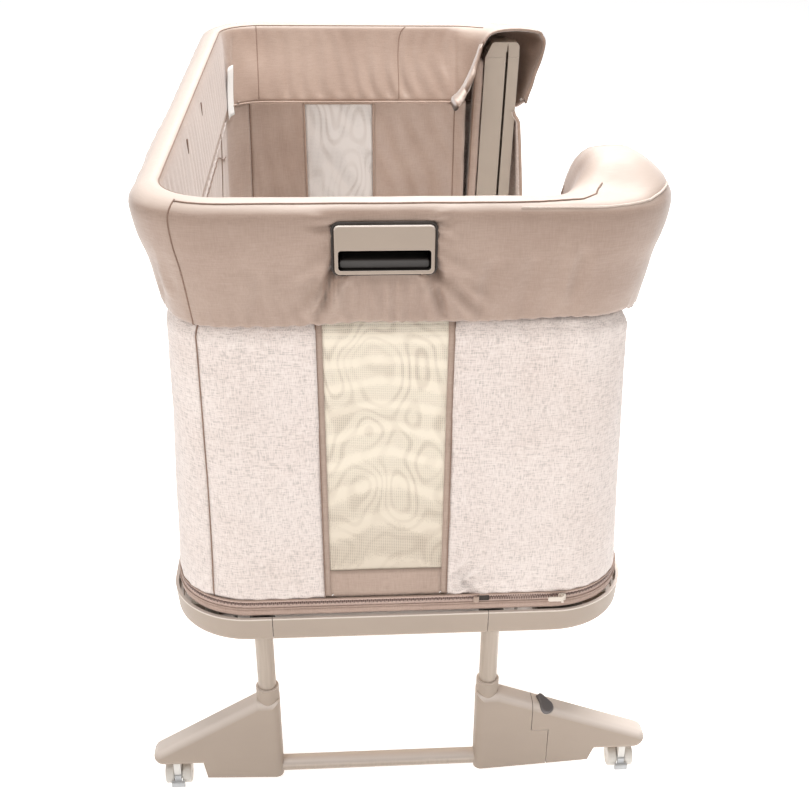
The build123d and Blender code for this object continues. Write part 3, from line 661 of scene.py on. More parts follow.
def lining_ring(z):
    """Inner face of the lining at height z, seen from inside the cot."""
    half_width = quadratic(min(z, wall_heights[-1]), wall_heights, wall_widths) - lining_gap
    return Ring(z, half_width, half_width, 405, 57, straight_x)


# =============================== linen walls ===============================

def collar_tuck(z):
    """How far a wall leans in at height z, to pass under the collar."""
    return 6.5 * smooth(634, 650, z)


def wall_rows(stops, step=5, inset=0.0, bottom=wall_bottom, top=wall_top):
    """Rows of an outer wall panel between two stations, tucked in at its top and foot."""
    stations = walk(stops, step)
    rows = []
    for z in levels(bottom, top, 6):
        tuck = collar_tuck(z) + 1.5 * (1 - smooth(300, 309, z))
        ring = wall_ring(z, inset + tuck)
        rows.append([ring_point(station, ring) for station in stations])
    return rows


def plan_run(point):
    """Distance-like measure round the basket for folds, the same on both long and short sides."""
    return point.x - 0.9 * point.y if point.x < 0 else point.x + 0.9 * point.y


def linen_depth(first, last):
    """Padding of a linen panel: fuller in the middle, pinched at its seams, slightly uneven."""
    def depth(point):
        edge = min((point - first[0]).xy.length, (point - last[0]).xy.length)
        pinch = -1.6 * bell(edge, 5)
        full = 1.2 * smooth(0, 40, edge) * bell(point.z - 450, 190)
        run = plan_run(point)
        uneven = 1.1 * rumple(run, point.z, 95, 3) + 0.35 * rumple(run, point.z, 28, 5)
        foot = 0.8 * gathers(run, point.z, 26, 4) * (1 - smooth(305, 350, point.z))
        top = 0.9 * gathers(run, point.z, 34, 7) * smooth(590, 640, point.z)
        return pinch + full + uneven + foot + top
    return depth


def corner_rumple(point):
    """Creases at the foot of the near right panel, beside the window."""
    if point.y > 0:
        return 0.0
    lines = (
        (53, 309, 92, 330, 2.2, 4),
        (55, 322, 84, 356, 1.6, 4.5),
        (70, 303, 120, 312, 1.5, 4),
        (52, 345, 66, 392, 1.2, 5),
    )
    return smooth(51, 62, point.x) * sum(crease(point.x, point.z, line) for line in lines)


panel_edges = {}


def linen_panel(name, first, last):
    """Linen panel of the outer wall."""
    rows = wall_rows([first, last])
    base = linen_depth((rows[20][0],), (rows[20][-1],))
    rows = displaced(rows, lambda point: base(point) + corner_rumple(point))
    panel_edges[name] = ([row[0] for row in rows], [row[-1] for row in rows])
    return cloth_panel(name, rows, linen_look, 4)


for panel_name, first_station, last_station, node_name in (
    ("near_left_linen", near_station(window_left), split_station, "near_wall"),
    ("near_right_linen", -3, near_station(window_right), "near_wall"),
    ("left_linen", split_station, 5 - split_station, "left_wall"),
    ("far_left_linen", 5 - split_station, far_station(window_left), "far_wall"),
    ("far_right_linen", far_station(window_right), 7, "far_wall"),
):
    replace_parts(linen_panel(panel_name, first_station, last_station), node_name)

cord_mesh("near_split_seam", panel_edges["left_linen"][0], 0.9, seam_look)
cord_mesh("far_split_seam", panel_edges["left_linen"][1], 0.9, seam_look)
cord_mesh("near_open_hem", panel_edges["near_right_linen"][0], 2.6, binding_look)
cord_mesh("far_open_hem", panel_edges["far_right_linen"][1], 2.6, binding_look)


# =============================== outer mesh windows ===============================

band_top = 338
strip_width = 6.5
strip_tuck = 3.8


def window_piece(name, low_x, high_x, low_z, high_z, look, station_of, inset, thickness, puff):
    """Rectangular piece of an end window, slightly slack in the middle."""
    stops = sorted((station_of(low_x), station_of(high_x)))
    rows = []
    for z in levels(low_z, high_z, 6):
        ring = wall_ring(z, inset + collar_tuck(z))
        rows.append([ring_point(station, ring) for station in walk(stops, 5)])
    middle = (low_x + high_x) / 2
    half = (high_x - low_x) / 2

    def depth(point):
        slack = bell(point.x - middle, 0.75 * half)
        slack *= bell(point.z - (low_z + high_z) / 2, 0.4 * (high_z - low_z))
        return puff * slack + 0.25 * rumple(point.x, point.z, 22, 2)

    rows = displaced(rows, depth)
    return cloth_panel(name, rows, look, thickness)


def end_window(side, station_of):
    """Mesh window of one end, with its bound strips, lower band, tacking stitches and seams."""
    left, right = window_left, window_right
    net = window_piece(
        side + "_window_mesh", left + 2, right - 2, 304, wall_top, mesh_look,
        station_of, 3.2, 0.8, -1.5,
    )
    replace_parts(net, "mesh_windows")
    for piece, low_x, high_x, low_z, high_z, inset, puff in (
        ("left_strip", left - strip_tuck, left + strip_width, 302, wall_top, 1.9, 0.3),
        ("right_strip", right - strip_width, right + strip_tuck, 302, wall_top, 1.9, 0.3),
        ("band", left + strip_width, right - strip_width, 301, band_top, 2.1, 0.4),
    ):
        name = f"{side}_window_{piece}"
        window_piece(name, low_x, high_x, low_z, high_z, binding_look, station_of, inset, 1.0, puff)
    for edge_name, stitch_x in (("left", left + 8), ("right", right - 8)):
        start = ring_point(station_of(stitch_x), wall_ring(304, 0.4))
        stitch = [start, start + Vector((0.6, 0, 1.2)), start + Vector((1.8, 0, 1.6))]
        cord_mesh(f"{side}_band_stitch_{edge_name}", stitch, 0.5, label_look, sides=6)
    for edge_name, edge_x in (("left", left), ("right", right)):
        path = [
            ring_point(station_of(edge_x), wall_ring(z, 0.6 + collar_tuck(z)))
            for z in levels(301, 650, 8)
        ]
        cord_mesh(f"{side}_window_{edge_name}_seam", path, 0.6, seam_look)


end_window("near", near_station)
end_window("far", far_station)


# =============================== collar ===============================

handle_left = -70
handle_right = 26
handle_bottom = 708
handle_top = 756
hole_gap = 1.2
near_hood_end = -356
far_hood_end = 402

collar_knots = [
    Ring(653, 240, 240, 465.5, 66, 176),
    Ring(649, 243.5, 243.5, 469.5, 69, 176),
    Ring(651, 246, 246, 472, 71, 176),
    Ring(678, 251.5, 251.5, 477.5, 73, 176),
    Ring(handle_bottom - hole_gap, 257.5, 257.5, 482.5, 77, 176),
    Ring(732, 266, 266, 487.3, 81.5, 176),
    Ring(handle_top + hole_gap, 270.5, 270.5, 488.5, 85, 176),
    Ring(768, 266, 266, 485, 84, 176),
    Ring(774.5, 257, 257, 476, 79, 172),
    Ring(776, 247, 214, 466, 72, 150),
    Ring(771.5, 240, 186, 455, 64, 122),
    Ring(760, 237, 173, 449, 60, 110),
    Ring(735, 235, 168, 438, 60, 106),
    Ring(700, 233, 166, 420, 60, 106),
    Ring(671, 232, 166, 406, 60, 106),
    Ring(667, 233.5, 167, 406.5, 60, 106),
]
knot_steps = [2, 1, 6, 7, 6, 6, 3, 3, 3, 3, 3, 6, 8, 7, 2]


def catmull(before, start, end, after, share):
    """Point on the smooth curve between start and end."""
    values = []
    for a, b, c, d in zip(before, start, end, after):
        values.append(
            0.5 * (
                2 * b
                + (c - a) * share
                + (2 * a - 5 * b + 4 * c - d) * share ** 2
                + (3 * b - a - 3 * c + d) * share ** 3
            )
        )
    return Ring(*values)


collar_rings = []
for index, steps in enumerate(knot_steps):
    before = collar_knots[max(0, index - 1)]
    after = collar_knots[min(len(collar_knots) - 1, index + 2)]
    for step in range(steps):
        collar_rings.append(
            catmull(before, collar_knots[index], collar_knots[index + 1], after, step / steps)
        )
collar_rings.append(collar_knots[-1])
first_inner_ring = sum(knot_steps[:9])

handle_creases = [
    (-69, 708, -92, 650, 4.6, 4.5),
    (24, 708, 42, 650, 4.6, 4.5),
    (-70, 714, -112, 684, 2.6, 6),
    (25, 714, 66, 690, 2.4, 6),
    (-68, 707, -118, 664, 2.2, 5),
    (29, 706, 58, 652, 2.4, 4),
    (-70, 753, -100, 757, 1.4, 3),
    (26, 755, 46, 764, 1.6, 3),
    (26, 747, 44, 741, 1.2, 3),
    (34, 702, 84, 656, 2.4, 5),
    (-76, 690, -82, 650, 1.3, 4),
    (84, 712, 72, 656, 1.2, 6),
    (124, 716, 112, 658, 1.0, 7),
    (171, 722, 160, 654, 1.4, 5),
    (-142, 700, -150, 652, 1.2, 6),
]


def hem_shift(point):
    """How far the collar's lower hem rises, which leaves it slightly wavy."""
    fade = 1 - smooth(652, 690, point.z)
    sway = 2.2 * rumple(plan_run(point), 0, 120, 12)
    if point.y < -440:
        sway += 3.5 * smooth(-130, -30, point.x) + 3 * smooth(60, 220, point.x) - 2
    return fade * sway


def outer_collar_depth(point):
    """Unevenness of the collar's outside."""
    run = plan_run(point)
    depth = 1.3 * rumple(run, point.z, 80, 1) + 0.5 * rumple(run, point.z, 30, 2)
    hem = 1 - smooth(654, 694, point.z)
    depth += 1.6 * hem * gathers(run, point.z, 17, 3)
    if abs(point.y) > 455 and abs(point.x) < 200:
        for line in handle_creases:
            depth += crease(point.x, point.z, line)
        under = smooth(-72, -60, point.x) * (1 - smooth(16, 28, point.x))
        drop = smooth(648, 660, point.z) * (1 - smooth(690, 708, point.z))
        depth += 3.0 * under * drop * gathers(point.x, point.z, 12.5, 6)
        hold = max(abs(point.x - (handle_left + handle_right) / 2) - 50, abs(point.z - 732) - 26, 0)
        depth -= 2.4 * bell(hold, 9)
    if point.x < -230:
        depth += 1.4 * gathers(point.y, point.z, 46, 8) * (0.4 + 0.6 * hem)
    seam = abs(math.hypot(point.x + 210, abs(point.y) - 452))
    depth -= 1.6 * bell(seam, 5)
    return depth


def inner_collar_depth(point):
    """Gathers of the collar's inner band, deeper towards its lower seam."""
    run = point.y if point.x < -225 else point.x
    low = 1 - smooth(672, 752, point.z)
    fade = 1 - smooth(752, 768, point.z)
    middle = bell(point.x - 20, 120) if point.y > 300 else 0.5
    if point.x < -225:
        low *= 0.25 + 0.75 * smooth(-300, -380, point.y)
        fade *= 0.35 + 0.65 * smooth(-300, -380, point.y)
    depth = fade * (1.6 + 2.2 * low) * gathers(run, point.z, 27, 4) * (0.5 + 0.5 * middle)
    depth *= 1 - 0.85 * smooth(105, 130, point.x)
    depth += fade * 1.1 * rumple(run, point.z, 60, 6)
    depth *= smooth(666, 684, point.z)
    if point.y > 300:
        depth -= 1.8 * bell(point.x - 128, 4) * fade
        depth -= 1.8 * bell(point.x + 222, 5) * fade
    return depth


def raise_hood(point):
    """Puff of the near hood over the post, and the softer crown of the far one."""
    if point.x < 140:
        return point
    crown = smooth(150, 196, point.x) * (1 - 0.85 * smooth(226, 270, point.x))
    high = smooth(742, 776, point.z)
    if point.y < 0:
        lift = 25 * smooth(-462, -408, point.y) * (1 - 0.22 * smooth(-385, -356, point.y))
        flap = 0.0
    else:
        lift = 3 * smooth(460, 420, point.y)
        flap = 15 * smooth(452, 404, point.y) * smooth(225, 240, point.x)
        flap *= 1 - smooth(652, 700, point.z)
    return point + Vector((0, 0, lift * crown * high + flap))


def hood_slit(point):
    """Pinched slit in the inner side of the near hood."""
    if point.y > -300 or point.x < 160:
        return 0.0
    return crease(point.x, point.z, (186, 742, 201, 788, 7.5, 2.0)) * smooth(-430, -400, point.y)


def collar_row(index, ring, stations):
    """One ring of the collar, with hem sway, raised hoods and turned-in ends."""
    row = []
    for station in stations:
        point = ring_point(station, ring, near_hood_end, far_hood_end)
        if index < first_inner_ring:
            point.z += hem_shift(point)
        row.append(raise_hood(point))
    for first, at, shift in ((True, 0, -2.5), (False, len(row) - 1, 0.0)):
        edge = row[at]
        centre = Vector((213, edge.y, 712))
        turned_in = 5.5 if index < first_inner_ring + 8 else 1.5
        lip = edge + (centre - edge).normalized() * turned_in + Vector((0, shift, 0))
        row = [lip] + row if first else row + [lip]
    return row


handle_stops = [handle_right + hole_gap, handle_left - hole_gap]
collar_stations = walk(
    [-3]
    + [near_station(x) for x in handle_stops]
    + [far_station(x) for x in reversed(handle_stops)]
    + [7],
    4.2,
)
collar_rows = [collar_row(index, ring, collar_stations) for index, ring in enumerate(collar_rings)]


def collar_depth(point):
    """Unevenness anywhere on the collar."""
    if abs(point.y) < 462 and -243 < point.x < 180 and point.z < 775:
        return inner_collar_depth(point)
    side = outer_collar_depth(point) * (1 - smooth(764, 775, point.z))
    return side + 0.5 * rumple(point.x, point.y, 40, 3)


def collar_hole(point):
    """True inside the openings for the handle housings."""
    wide = handle_left - hole_gap < point.x < handle_right + hole_gap
    high = handle_bottom - hole_gap < point.z < handle_top + hole_gap
    return wide and high and abs(point.y) > 460


collar_rows = displaced(collar_rows, lambda point: collar_depth(point) + hood_slit(point))
collar = grid("collar_cover", collar_rows, collar_look, hole=collar_hole)
thicken(collar, 4.5)
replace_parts(collar, "collar")


def nearest_column(station):
    """Index of the collar's column nearest a station, past the turned-in end."""
    return min(range(len(collar_stations)), key=lambda i: abs(collar_stations[i] - station)) + 1


def collar_path(stops, row_at, lift, step=6):
    """Points on the collar between two stations; row_at gives the ring's index at a station."""
    path = []
    for station in walk(stops, step):
        at = nearest_column(station)
        place_in_rings = row_at(station)
        low = min(len(collar_rows) - 2, int(place_in_rings))
        share = place_in_rings - low
        point = collar_rows[low][at].lerp(collar_rows[low + 1][at], share)
        across = collar_rows[low][at + 1] - collar_rows[low][at - 1]
        normal = (collar_rows[low + 1][at] - collar_rows[low][at]).cross(across).normalized()
        path.append(point + normal * lift)
    return path


def collar_column(station, low, high, lift):
    """Points up the collar at one station, between two ring indexes."""
    at = nearest_column(station)
    path = []
    for index in range(low, high + 1):
        across = collar_rows[index][at + 1] - collar_rows[index][at - 1]
        up = collar_rows[min(index + 1, len(collar_rows) - 1)][at] - collar_rows[index - 1][at]
        path.append(collar_rows[index][at] + up.cross(across).normalized() * lift)
    return path


top_ring = sum(knot_steps[:8])
inner_rim_ring = sum(knot_steps[:10])
last_ring = len(collar_rings) - 1
collar_seams = {
    "near_corner": (collar_column(split_station, 2, top_ring, 0.2), 0.8, seam_look),
    "far_corner": (collar_column(5 - split_station, 2, top_ring, 0.2), 0.8, seam_look),
    "near_top": (
        collar_path(
            [-1.75, split_station],
            lambda station: top_ring - 0.6 + 3.9 * smooth(-0.55, -1.75, station),
            0.2,
        ),
        0.9,
        seam_look,
    ),
    "hood": (collar_path([-2.3, -0.62], lambda station: top_ring - 2.2, 0.3), 1.1, piping_look),
    "far_rim": (
        collar_path([split_station, 6.2], lambda station: inner_rim_ring - 0.5, 0.15),
        0.8,
        seam_look,
    ),
}
for seam_name, seam_station in (("left", 1.72), ("far_right", 4.76), ("far_left", 3.9)):
    seam = collar_column(seam_station, inner_rim_ring, last_ring - 2, 0.1)
    collar_seams["inner_" + seam_name] = (seam, 0.7, seam_look)
for seam_name, (seam, radius, look) in collar_seams.items():
    cord_mesh(f"collar_{seam_name}_seam", seam, radius, look)


def rounded_loop(low, high, radius, step_angle, count):
    """Pairs round a rounded rectangle; low and high are the centres of opposite corners."""
    for centre_x, centre_y, start in (
        (high[0], high[1], 0),
        (low[0], high[1], 90),
        (low[0], low[1], 180),
        (high[0], low[1], 270),
    ):
        for step in range(count):
            turn = math.radians(start + step_angle * step)
            yield centre_x + radius * math.cos(turn), centre_y + radius * math.sin(turn)


def handle_gap_shade(name, side):
    """Rounded dark cord in the gap between the collar and a handle housing, painted shade."""
    radius, gap = 6.5, 1.6
    low = (handle_left - gap + radius, handle_bottom - gap + radius)
    high = (handle_right + gap - radius, handle_top + gap - radius)
    path = []
    for x, z in rounded_loop(low, high, radius, 15, 7):
        depth = 482.6 + 3.4 * smooth(handle_bottom, handle_top, z)
        path.append(Vector((x, side * (depth + 1.2), z)))
    cord_mesh(name, path, 1.5, gap_look, closed=True)


handle_gap_shade("near_handle_gap_shade", -1)
handle_gap_shade("far_handle_gap_shade", 1)


def button_hole(name, y, z):
    """Small stitched slit on the inner left side of the collar."""
    path = []
    for step in range(14):
        turn = 2 * math.pi * step / 14
        x = -235.6 + 0.02 * (z - 760)
        path.append(Vector((x, y + 1.6 * math.cos(turn), z + 8 * math.sin(turn))))
    cord_mesh(name, path, 0.9, seam_look, closed=True, sides=6)


button_hole("collar_slit_middle", 5, 748)
button_hole("collar_slit_near", -175, 748)

label_rows = []
for z in levels(655, 725, 5):
    curl = 1.0 * math.sin((z - 655) / 16)
    ring = Ring(z, 229.5 + curl, 229.5, 403 + 0.35 * (z - 655), 58, 106)
    label_rows.append([ring_point(station, ring) for station in walk([2.985, 3.3], 3)])
cloth_panel("care_label", label_rows, label_look, 0.4, 1.0)


# =============================== lining ===============================

inner_window_left = -115
inner_window_right = -4
lining_end_x = 146
lining_low = 300
lining_high = 668


def lining_rows(stops, step=6):
    """Rows of a lining panel between two stations."""
    stations = walk(stops, step)
    rows = []
    for z in levels(lining_low, lining_high, 7):
        ring = lining_ring(z)
        rows.append([ring_point(station, ring) for station in stations])
    return rows


def lining_depth(point):
    """Folds of the lining; a positive depth pushes it towards the walls."""
    run = point.y if point.x < -215 else point.x
    up = smooth(640, 668, point.z)
    depth = 0.9 * rumple(run, point.z, 70, 21) + 0.5 * rumple(run, point.z, 26, 22)
    depth += (0.8 + 1.4 * up) * gathers(run, point.z, 30, 23)
    depth += 1.5 * bell(point.z - 667, 5)
    if abs(point.y) > 395 and point.x > -4:
        slant = point.x + 0.28 * (point.z - 620)
        depth += 2.6 * gathers(slant, point.z, 38, 25)
    for seam_x in (128, -200):
        depth += 1.6 * bell(point.x - seam_x, 4)
    return depth * (1 - smooth(652, 664, point.z))


def lining_point(station, z, lift=0.3):
    """Point just proud of the lining's inner face."""
    ring = lining_ring(z)
    here = ring_point(station, ring)
    tangent = (ring_point(station + 0.01, ring) - ring_point(station - 0.01, ring)).normalized()
    outward = Vector((-tangent.y, tangent.x, 0))
    return here + outward * (lining_depth(here) - lift)


def lining_panel(name, stops):
    """Panel of lining cloth, in place of the CAD lining."""
    rows = displaced(lining_rows(stops), lining_depth)
    piece = cloth_panel(name, rows, inner_look, 2, 1.0)
    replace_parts(piece, "lining")
    return piece


lining_panel("near_lining_right", [near_station(lining_end_x), near_station(window_right)])
lining_panel("near_lining_left", [near_station(window_left), 1.5])
lining_panel("left_lining", [1.5, 3.72])
lining_panel("far_lining_left", [3.72, far_station(inner_window_left)])
lining_panel("far_lining_right", [far_station(inner_window_right), far_station(lining_end_x)])


def inner_window(name, low_x, high_x, station_of):
    """Mesh window in the lining, with bound edges."""
    stops = sorted((station_of(low_x), station_of(high_x)))

    def depth(point):
        slack = 1.2 + 0.8 * rumple(point.x, point.z, 40, 31)
        return slack + 0.5 * gathers(point.x + 0.5 * point.z, point.z, 44, 33)

    rows = displaced(lining_rows(stops), depth)
    piece = cloth_panel(name, rows, inner_mesh_look, 0.8, 1.0)
    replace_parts(piece, "lining")
    for edge, x in (("left", low_x), ("right", high_x)):
        path = [lining_point(station_of(x), z) for z in levels(lining_low, lining_high, 9)]
        cord_mesh(f"{name}_{edge}_binding", path, 1.5, binding_look)
    top = [lining_point(station_of(x), lining_high - 3) for x in levels(low_x, high_x, 8)]
    cord_mesh(f"{name}_top_binding", top, 2.2, binding_look)


inner_window("near_inner_window", window_left, window_right, near_station)
inner_window("far_inner_window", inner_window_left, inner_window_right, far_station)


for seam_name, seam_station in (
    ("far_lining_corner_seam", 3.72),
    ("far_lining_right_seam", far_station(128)),
    ("near_lining_corner_seam", 1.5),
    ("left_lining_near_seam", 2.16),
    ("left_lining_far_seam", 2.84),
):
    path = [lining_point(seam_station, z) for z in levels(lining_low, lining_high, 9)]
    cord_mesh(seam_name, path, 0.9, seam_look)

curve_path = []
for station in walk([2.04, 2.96], 10):
    rise = 640 - 36 * smooth(0.22, 0.46, abs(station - 2.5))
    curve_path.append(lining_point(station, rise))
cord_mesh("left_lining_curved_seam", curve_path, 0.9, seam_look)

band_seam = [lining_point(station, lining_high - 1, 2.4) for station in walk([-0.83, 4.88], 7)]
cord_mesh("collar_inner_band_seam", band_seam, 1.5, binding_look)


# =============================== pads beside the posts ===============================

slot_x = 197
slot_z = 274
post_lean = 0.028


def slot_line(z):
    """X of the slot in the leaning posts at height z."""
    return slot_x + post_lean * (z - slot_z)


def squared(value):
    """Share of a round outline pushed out towards a square one."""
    return math.copysign(abs(value) ** 0.55, value)


def post_pad(name, side):
    """Padded strip of cloth along the inner side of a post."""
    rows = []
    for z in levels(304, 734, 6):
        top = 1 - 0.9 * smooth(722, 734, z) ** 3
        half_x = 7.8 * top
        half_y = 14.5 * (0.6 + 0.4 * top)
        centre_x = slot_line(z) - 35.6 - 7.8 + 0.5 * rumple(z, 0, 60, 41)
        centre_y = side * 417
        row = []
        for step in range(20):
            turn = 2 * math.pi * step / 20
            bulge = 1 + 0.05 * rumple(z, step * 9, 18, 42)
            across, along = squared(math.cos(turn)), squared(math.sin(turn))
            row.append(Vector((centre_x + half_x * bulge * across, centre_y + half_y * along, z)))
        rows.append(row)
    pad = grid(name, rows, inner_look, closed=True)
    outward_faces(pad, fill=True)
    seam = [Vector((slot_line(z) - 49.5, side * 404.2, z)) for z in levels(306, 728, 9)]
    cord_mesh(name + "_seam", seam, 0.7, seam_look)


post_pad("near_post_pad", -1)
post_pad("far_post_pad", 1)


# =============================== base skirt and zip ===============================

zip_gap_left = 87
zip_open_left = 101
zip_open_right = 187


def full_circle(ring, step=7):
    """Closed plan loop of a ring, open side included."""
    points = [ring_point(station, ring, -1, 1) for station in walk([-1, 5], step)]
    straight = ring.half - ring.corner
    reach = ring.right - ring.right_start
    count = 16

    def corner(share, side):
        turn = share * math.pi / 2
        x = ring.right_start + reach * math.sin(turn)
        return Vector((x, side * (straight + ring.corner * math.cos(turn)), ring.z))

    points += [corner(index / count, 1) for index in range(1, count + 1)]
    for index in range(1, 100):
        points.append(Vector((ring.right, straight - 2 * straight * index / 100, ring.z)))
    return points + [corner(1 - index / count, -1) for index in range(count)]


skirt_profile = ((276.5, 2.6), (279, 1.2), (283, 0.6), (287.5, 1.0))
skirt_rows = displaced(
    [full_circle(wall_ring(z, inset)) for z, inset in skirt_profile],
    lambda point: 0.5 * rumple(plan_run(point), point.z, 24, 51),
    closed=True,
)
skirt = grid("base_skirt_cloth", skirt_rows, skirt_look, closed=True)
thicken(skirt, 2)
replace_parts(skirt, "base_skirt")

tape_profile = (
    (288, 1.0), (289.2, 0.4), (292.2, 1.8), (294, 2.6), (295.8, 1.8), (298.8, 0.4), (300, 1.2),
)
tape_rows = [full_circle(wall_ring(z, inset)) for z, inset in tape_profile]
tape = grid("zip_tape_cloth_ring", tape_rows, tape_look, closed=True)
thicken(tape, 1.2)
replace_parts(tape, "zip_tape")
for cord_name, cord_z in (("lower", 288.3), ("upper", 299.6)):
    loop = full_circle(wall_ring(cord_z, 0.2))
    cord_mesh(f"zip_{cord_name}_piping", loop, 1.2, skirt_look, closed=True)


def tooth(points, faces, centre, tangent, outward, rise):
    """Adds one moulded zip tooth: a small block with bevelled outer corners."""
    start = len(points)
    half_length, half_height, depth = 0.85, 1.5, 1.5
    up = Vector((0, 0, 1))
    base = centre + up * rise
    for out, shrink in ((0.0, 1.0), (0.7 * depth, 1.0), (depth, 0.55)):
        for along, high in ((-1, -1), (1, -1), (1, 1), (-1, 1)):
            side = tangent * (along * half_length * shrink) + up * (high * half_height * shrink)
            points.append(base + outward * out + side)
    for layer in (0, 4):
        for corner in range(4):
            following = (corner + 1) % 4
            faces.append((
                start + layer + corner,
                start + layer + following,
                start + layer + 4 + following,
                start + layer + 4 + corner,
            ))
    faces.append((start + 8, start + 9, start + 10, start + 11))
    faces.append((start + 3, start + 2, start + 1, start))


def zip_teeth():
    """Teeth all the way round; they part where the zip is open."""
    loop = full_circle(wall_ring(294, 2.4), 3)
    loop.append(loop[0])
    points = []
    faces = []
    pitch = 2.9
    left_over = 0.0
    count = 0
    for start, end in zip(loop, loop[1:]):
        run = end - start
        if run.length < 1e-6:
            continue
        tangent = run.normalized()
        outward = Vector((-tangent.y, tangent.x, 0))
        travelled = left_over
        while travelled < run.length:
            centre = start + tangent * travelled
            near = centre.y < -440
            in_gap = near and zip_gap_left - 1 < centre.x < zip_open_left
            is_open = near and zip_open_left <= centre.x < zip_open_right
            count += 1
            if is_open:
                part = 1.1 + 1.3 * bell(centre.x - 138, 26)
                tooth(points, faces, centre, tangent, outward, part)
                tooth(points, faces, centre + tangent * 1.4, tangent, outward, -part)
            elif not in_gap:
                tooth(points, faces, centre, tangent, outward, 0.45 if count % 2 else -0.45)
            travelled += pitch if is_open else pitch / 1.3
        left_over = travelled - run.length
    teeth = add_mesh("zip_teeth_row", points, faces, teeth_look)
    shade_smooth(teeth.data, False)


zip_teeth()



def near_patch(low_x, high_x, step_x, heights, inset):
    """Rows of a small flat patch in the near face of the zip."""
    return [
        [Vector((x, -wall_ring(z).half + inset, z)) for x in levels(low_x, high_x, step_x)]
        for z in heights
    ]


# Dark sheet in the teeth's gap, painted as the shade inside the zip.
gap_rows = near_patch(zip_gap_left, zip_open_left, 2, levels(288.8, 299.4, 1.5), 1.3)
gap_rows = displaced(gap_rows, lambda point: 0.3 * rumple(point.x, point.z, 12, 61))
gap_shade_sheet = grid("zip_gap_shade", gap_rows, gap_look)
thicken(gap_shade_sheet, 0.5)

tab_rows = near_patch(82, 88.5, 1.1, levels(290.2, 298, 1.3), -1.4)
tab_rows = displaced(tab_rows, lambda point: 0.35 * math.sin(point.x * 1.3))
tab = grid("zip_end_tab", tab_rows, binding_look)
thicken(tab, 1.2)


# =============================== mattress ===============================

def soft_block(name, low, high, corner, look):
    """Closed soft block with rounded plan corners and edges, ready to be swollen."""
    work = bmesh.new()
    bmesh.ops.create_cube(work, size=2.0)
    bmesh.ops.subdivide_edges(work, edges=work.edges, cuts=15, use_grid_fill=True)
    centre = [(a + b) / 2 for a, b in zip(low, high)]
    half = [(b - a) / 2 for a, b in zip(low, high)]
    edge_round = half[2] * 0.8
    for vertex in work.verts:
        x, y, z = (vertex.co[axis] * half[axis] for axis in range(3))
        over_x = max(0.0, abs(x) - (half[0] - corner))
        over_y = max(0.0, abs(y) - (half[1] - corner))
        reach = math.hypot(over_x, over_y)
        longest = max(over_x, over_y)
        if reach > 1e-6:
            squeeze = longest / reach
            x = math.copysign(abs(x) - over_x + over_x * squeeze, x)
            y = math.copysign(abs(y) - over_y + over_y * squeeze, y)
        rim = max(0.0, longest - (corner - edge_round)) / edge_round
        z *= math.sqrt(max(0.05, 1 - 0.55 * min(1.0, rim) ** 2))
        vertex.co = Vector((centre[0] + x, centre[1] + y, centre[2] + z)) * MM
    bmesh.ops.recalc_face_normals(work, faces=work.faces)
    mesh = bpy.data.meshes.new(name)
    work.to_mesh(mesh)
    work.free()
    return link_piece(name, mesh, look)


def settle(piece, modifier):
    """Applies what a modifier gives to the piece's own mesh, and removes the modifier."""
    bpy.context.view_layer.update()
    evaluated = piece.evaluated_get(bpy.context.evaluated_depsgraph_get())
    mesh = bpy.data.meshes.new_from_object(evaluated)
    piece.modifiers.remove(modifier)
    piece.data = mesh
    shade_smooth(mesh)


def swell(piece, voxel, cap, pressure=4.0, frames=20):
    """Swells a closed pad by cloth simulation; no point moves further than cap, in millimetres."""
    remesh = piece.modifiers.new("voxels", "REMESH")
    remesh.mode = "VOXEL"
    remesh.voxel_size = voxel * MM
    settle(piece, remesh)
    before = [vertex.co.copy() for vertex in piece.data.vertices]
    cloth = piece.modifiers.new("cloth", "CLOTH")
    cloth.settings.quality = 5
    cloth.settings.use_pressure = True
    cloth.settings.uniform_pressure_force = pressure
    cloth.settings.effector_weights.gravity = 0.0
    scene = bpy.context.scene
    for number in range(1, frames + 1):
        scene.frame_set(number)
    settle(piece, cloth)
    scene.frame_set(1)
    for vertex, start in zip(piece.data.vertices, before):
        move = vertex.co - start
        if move.length > cap * MM:
            vertex.co = start + move.normalized() * cap * MM


mattress = soft_block("mattress_pad", (-250, -398, 266), (178, 398, 319), 58, mattress_look)
swell(mattress, 7, 3.2)
rounding = mattress.modifiers.new("round", "SUBSURF")
rounding.levels = 1
rounding.render_levels = 1
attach(mattress, "basket")
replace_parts(mattress, "mattress")

for cord_name, cord_z in (("upper", 314.5), ("lower", 269.5)):
    outline = rounded_loop((-191, -339), (119, 339), 60.2, 10, 10)
    loop = [Vector((x, y, cord_z)) for x, y in outline]
    cord_mesh(f"mattress_{cord_name}_piping", loop, 1.8, mattress_look, closed=True)


# =============================== drop side ===============================

rail_z = 325
rail_x = slot_line(rail_z)
rail_half = 368


def rail_cover_rows():
    """Padded sleeve round the rail: outer face, end lips and a slack inner face."""
    rows = []
    for y in levels(-rail_half, rail_half, 5):
        end = min(rail_half - abs(y), 12) / 12
        row = []
        for step in range(32):
            turn = 2 * math.pi * step / 32
            radius = 12.6 + 1.2 * math.sqrt(max(0.0, end))
            radius += 0.35 * gathers(y + 4 * math.cos(turn), 8 * turn, 19, 71)
            radius += 0.3 * rumple(y, 30 * turn, 40, 72)
            radius -= 0.9 * bell(turn - math.pi * 1.5, 0.22)
            x, z = rail_x + radius * math.cos(turn), rail_z + radius * math.sin(turn)
            row.append(Vector((x, y, z)))
        rows.append(row)
    return rows


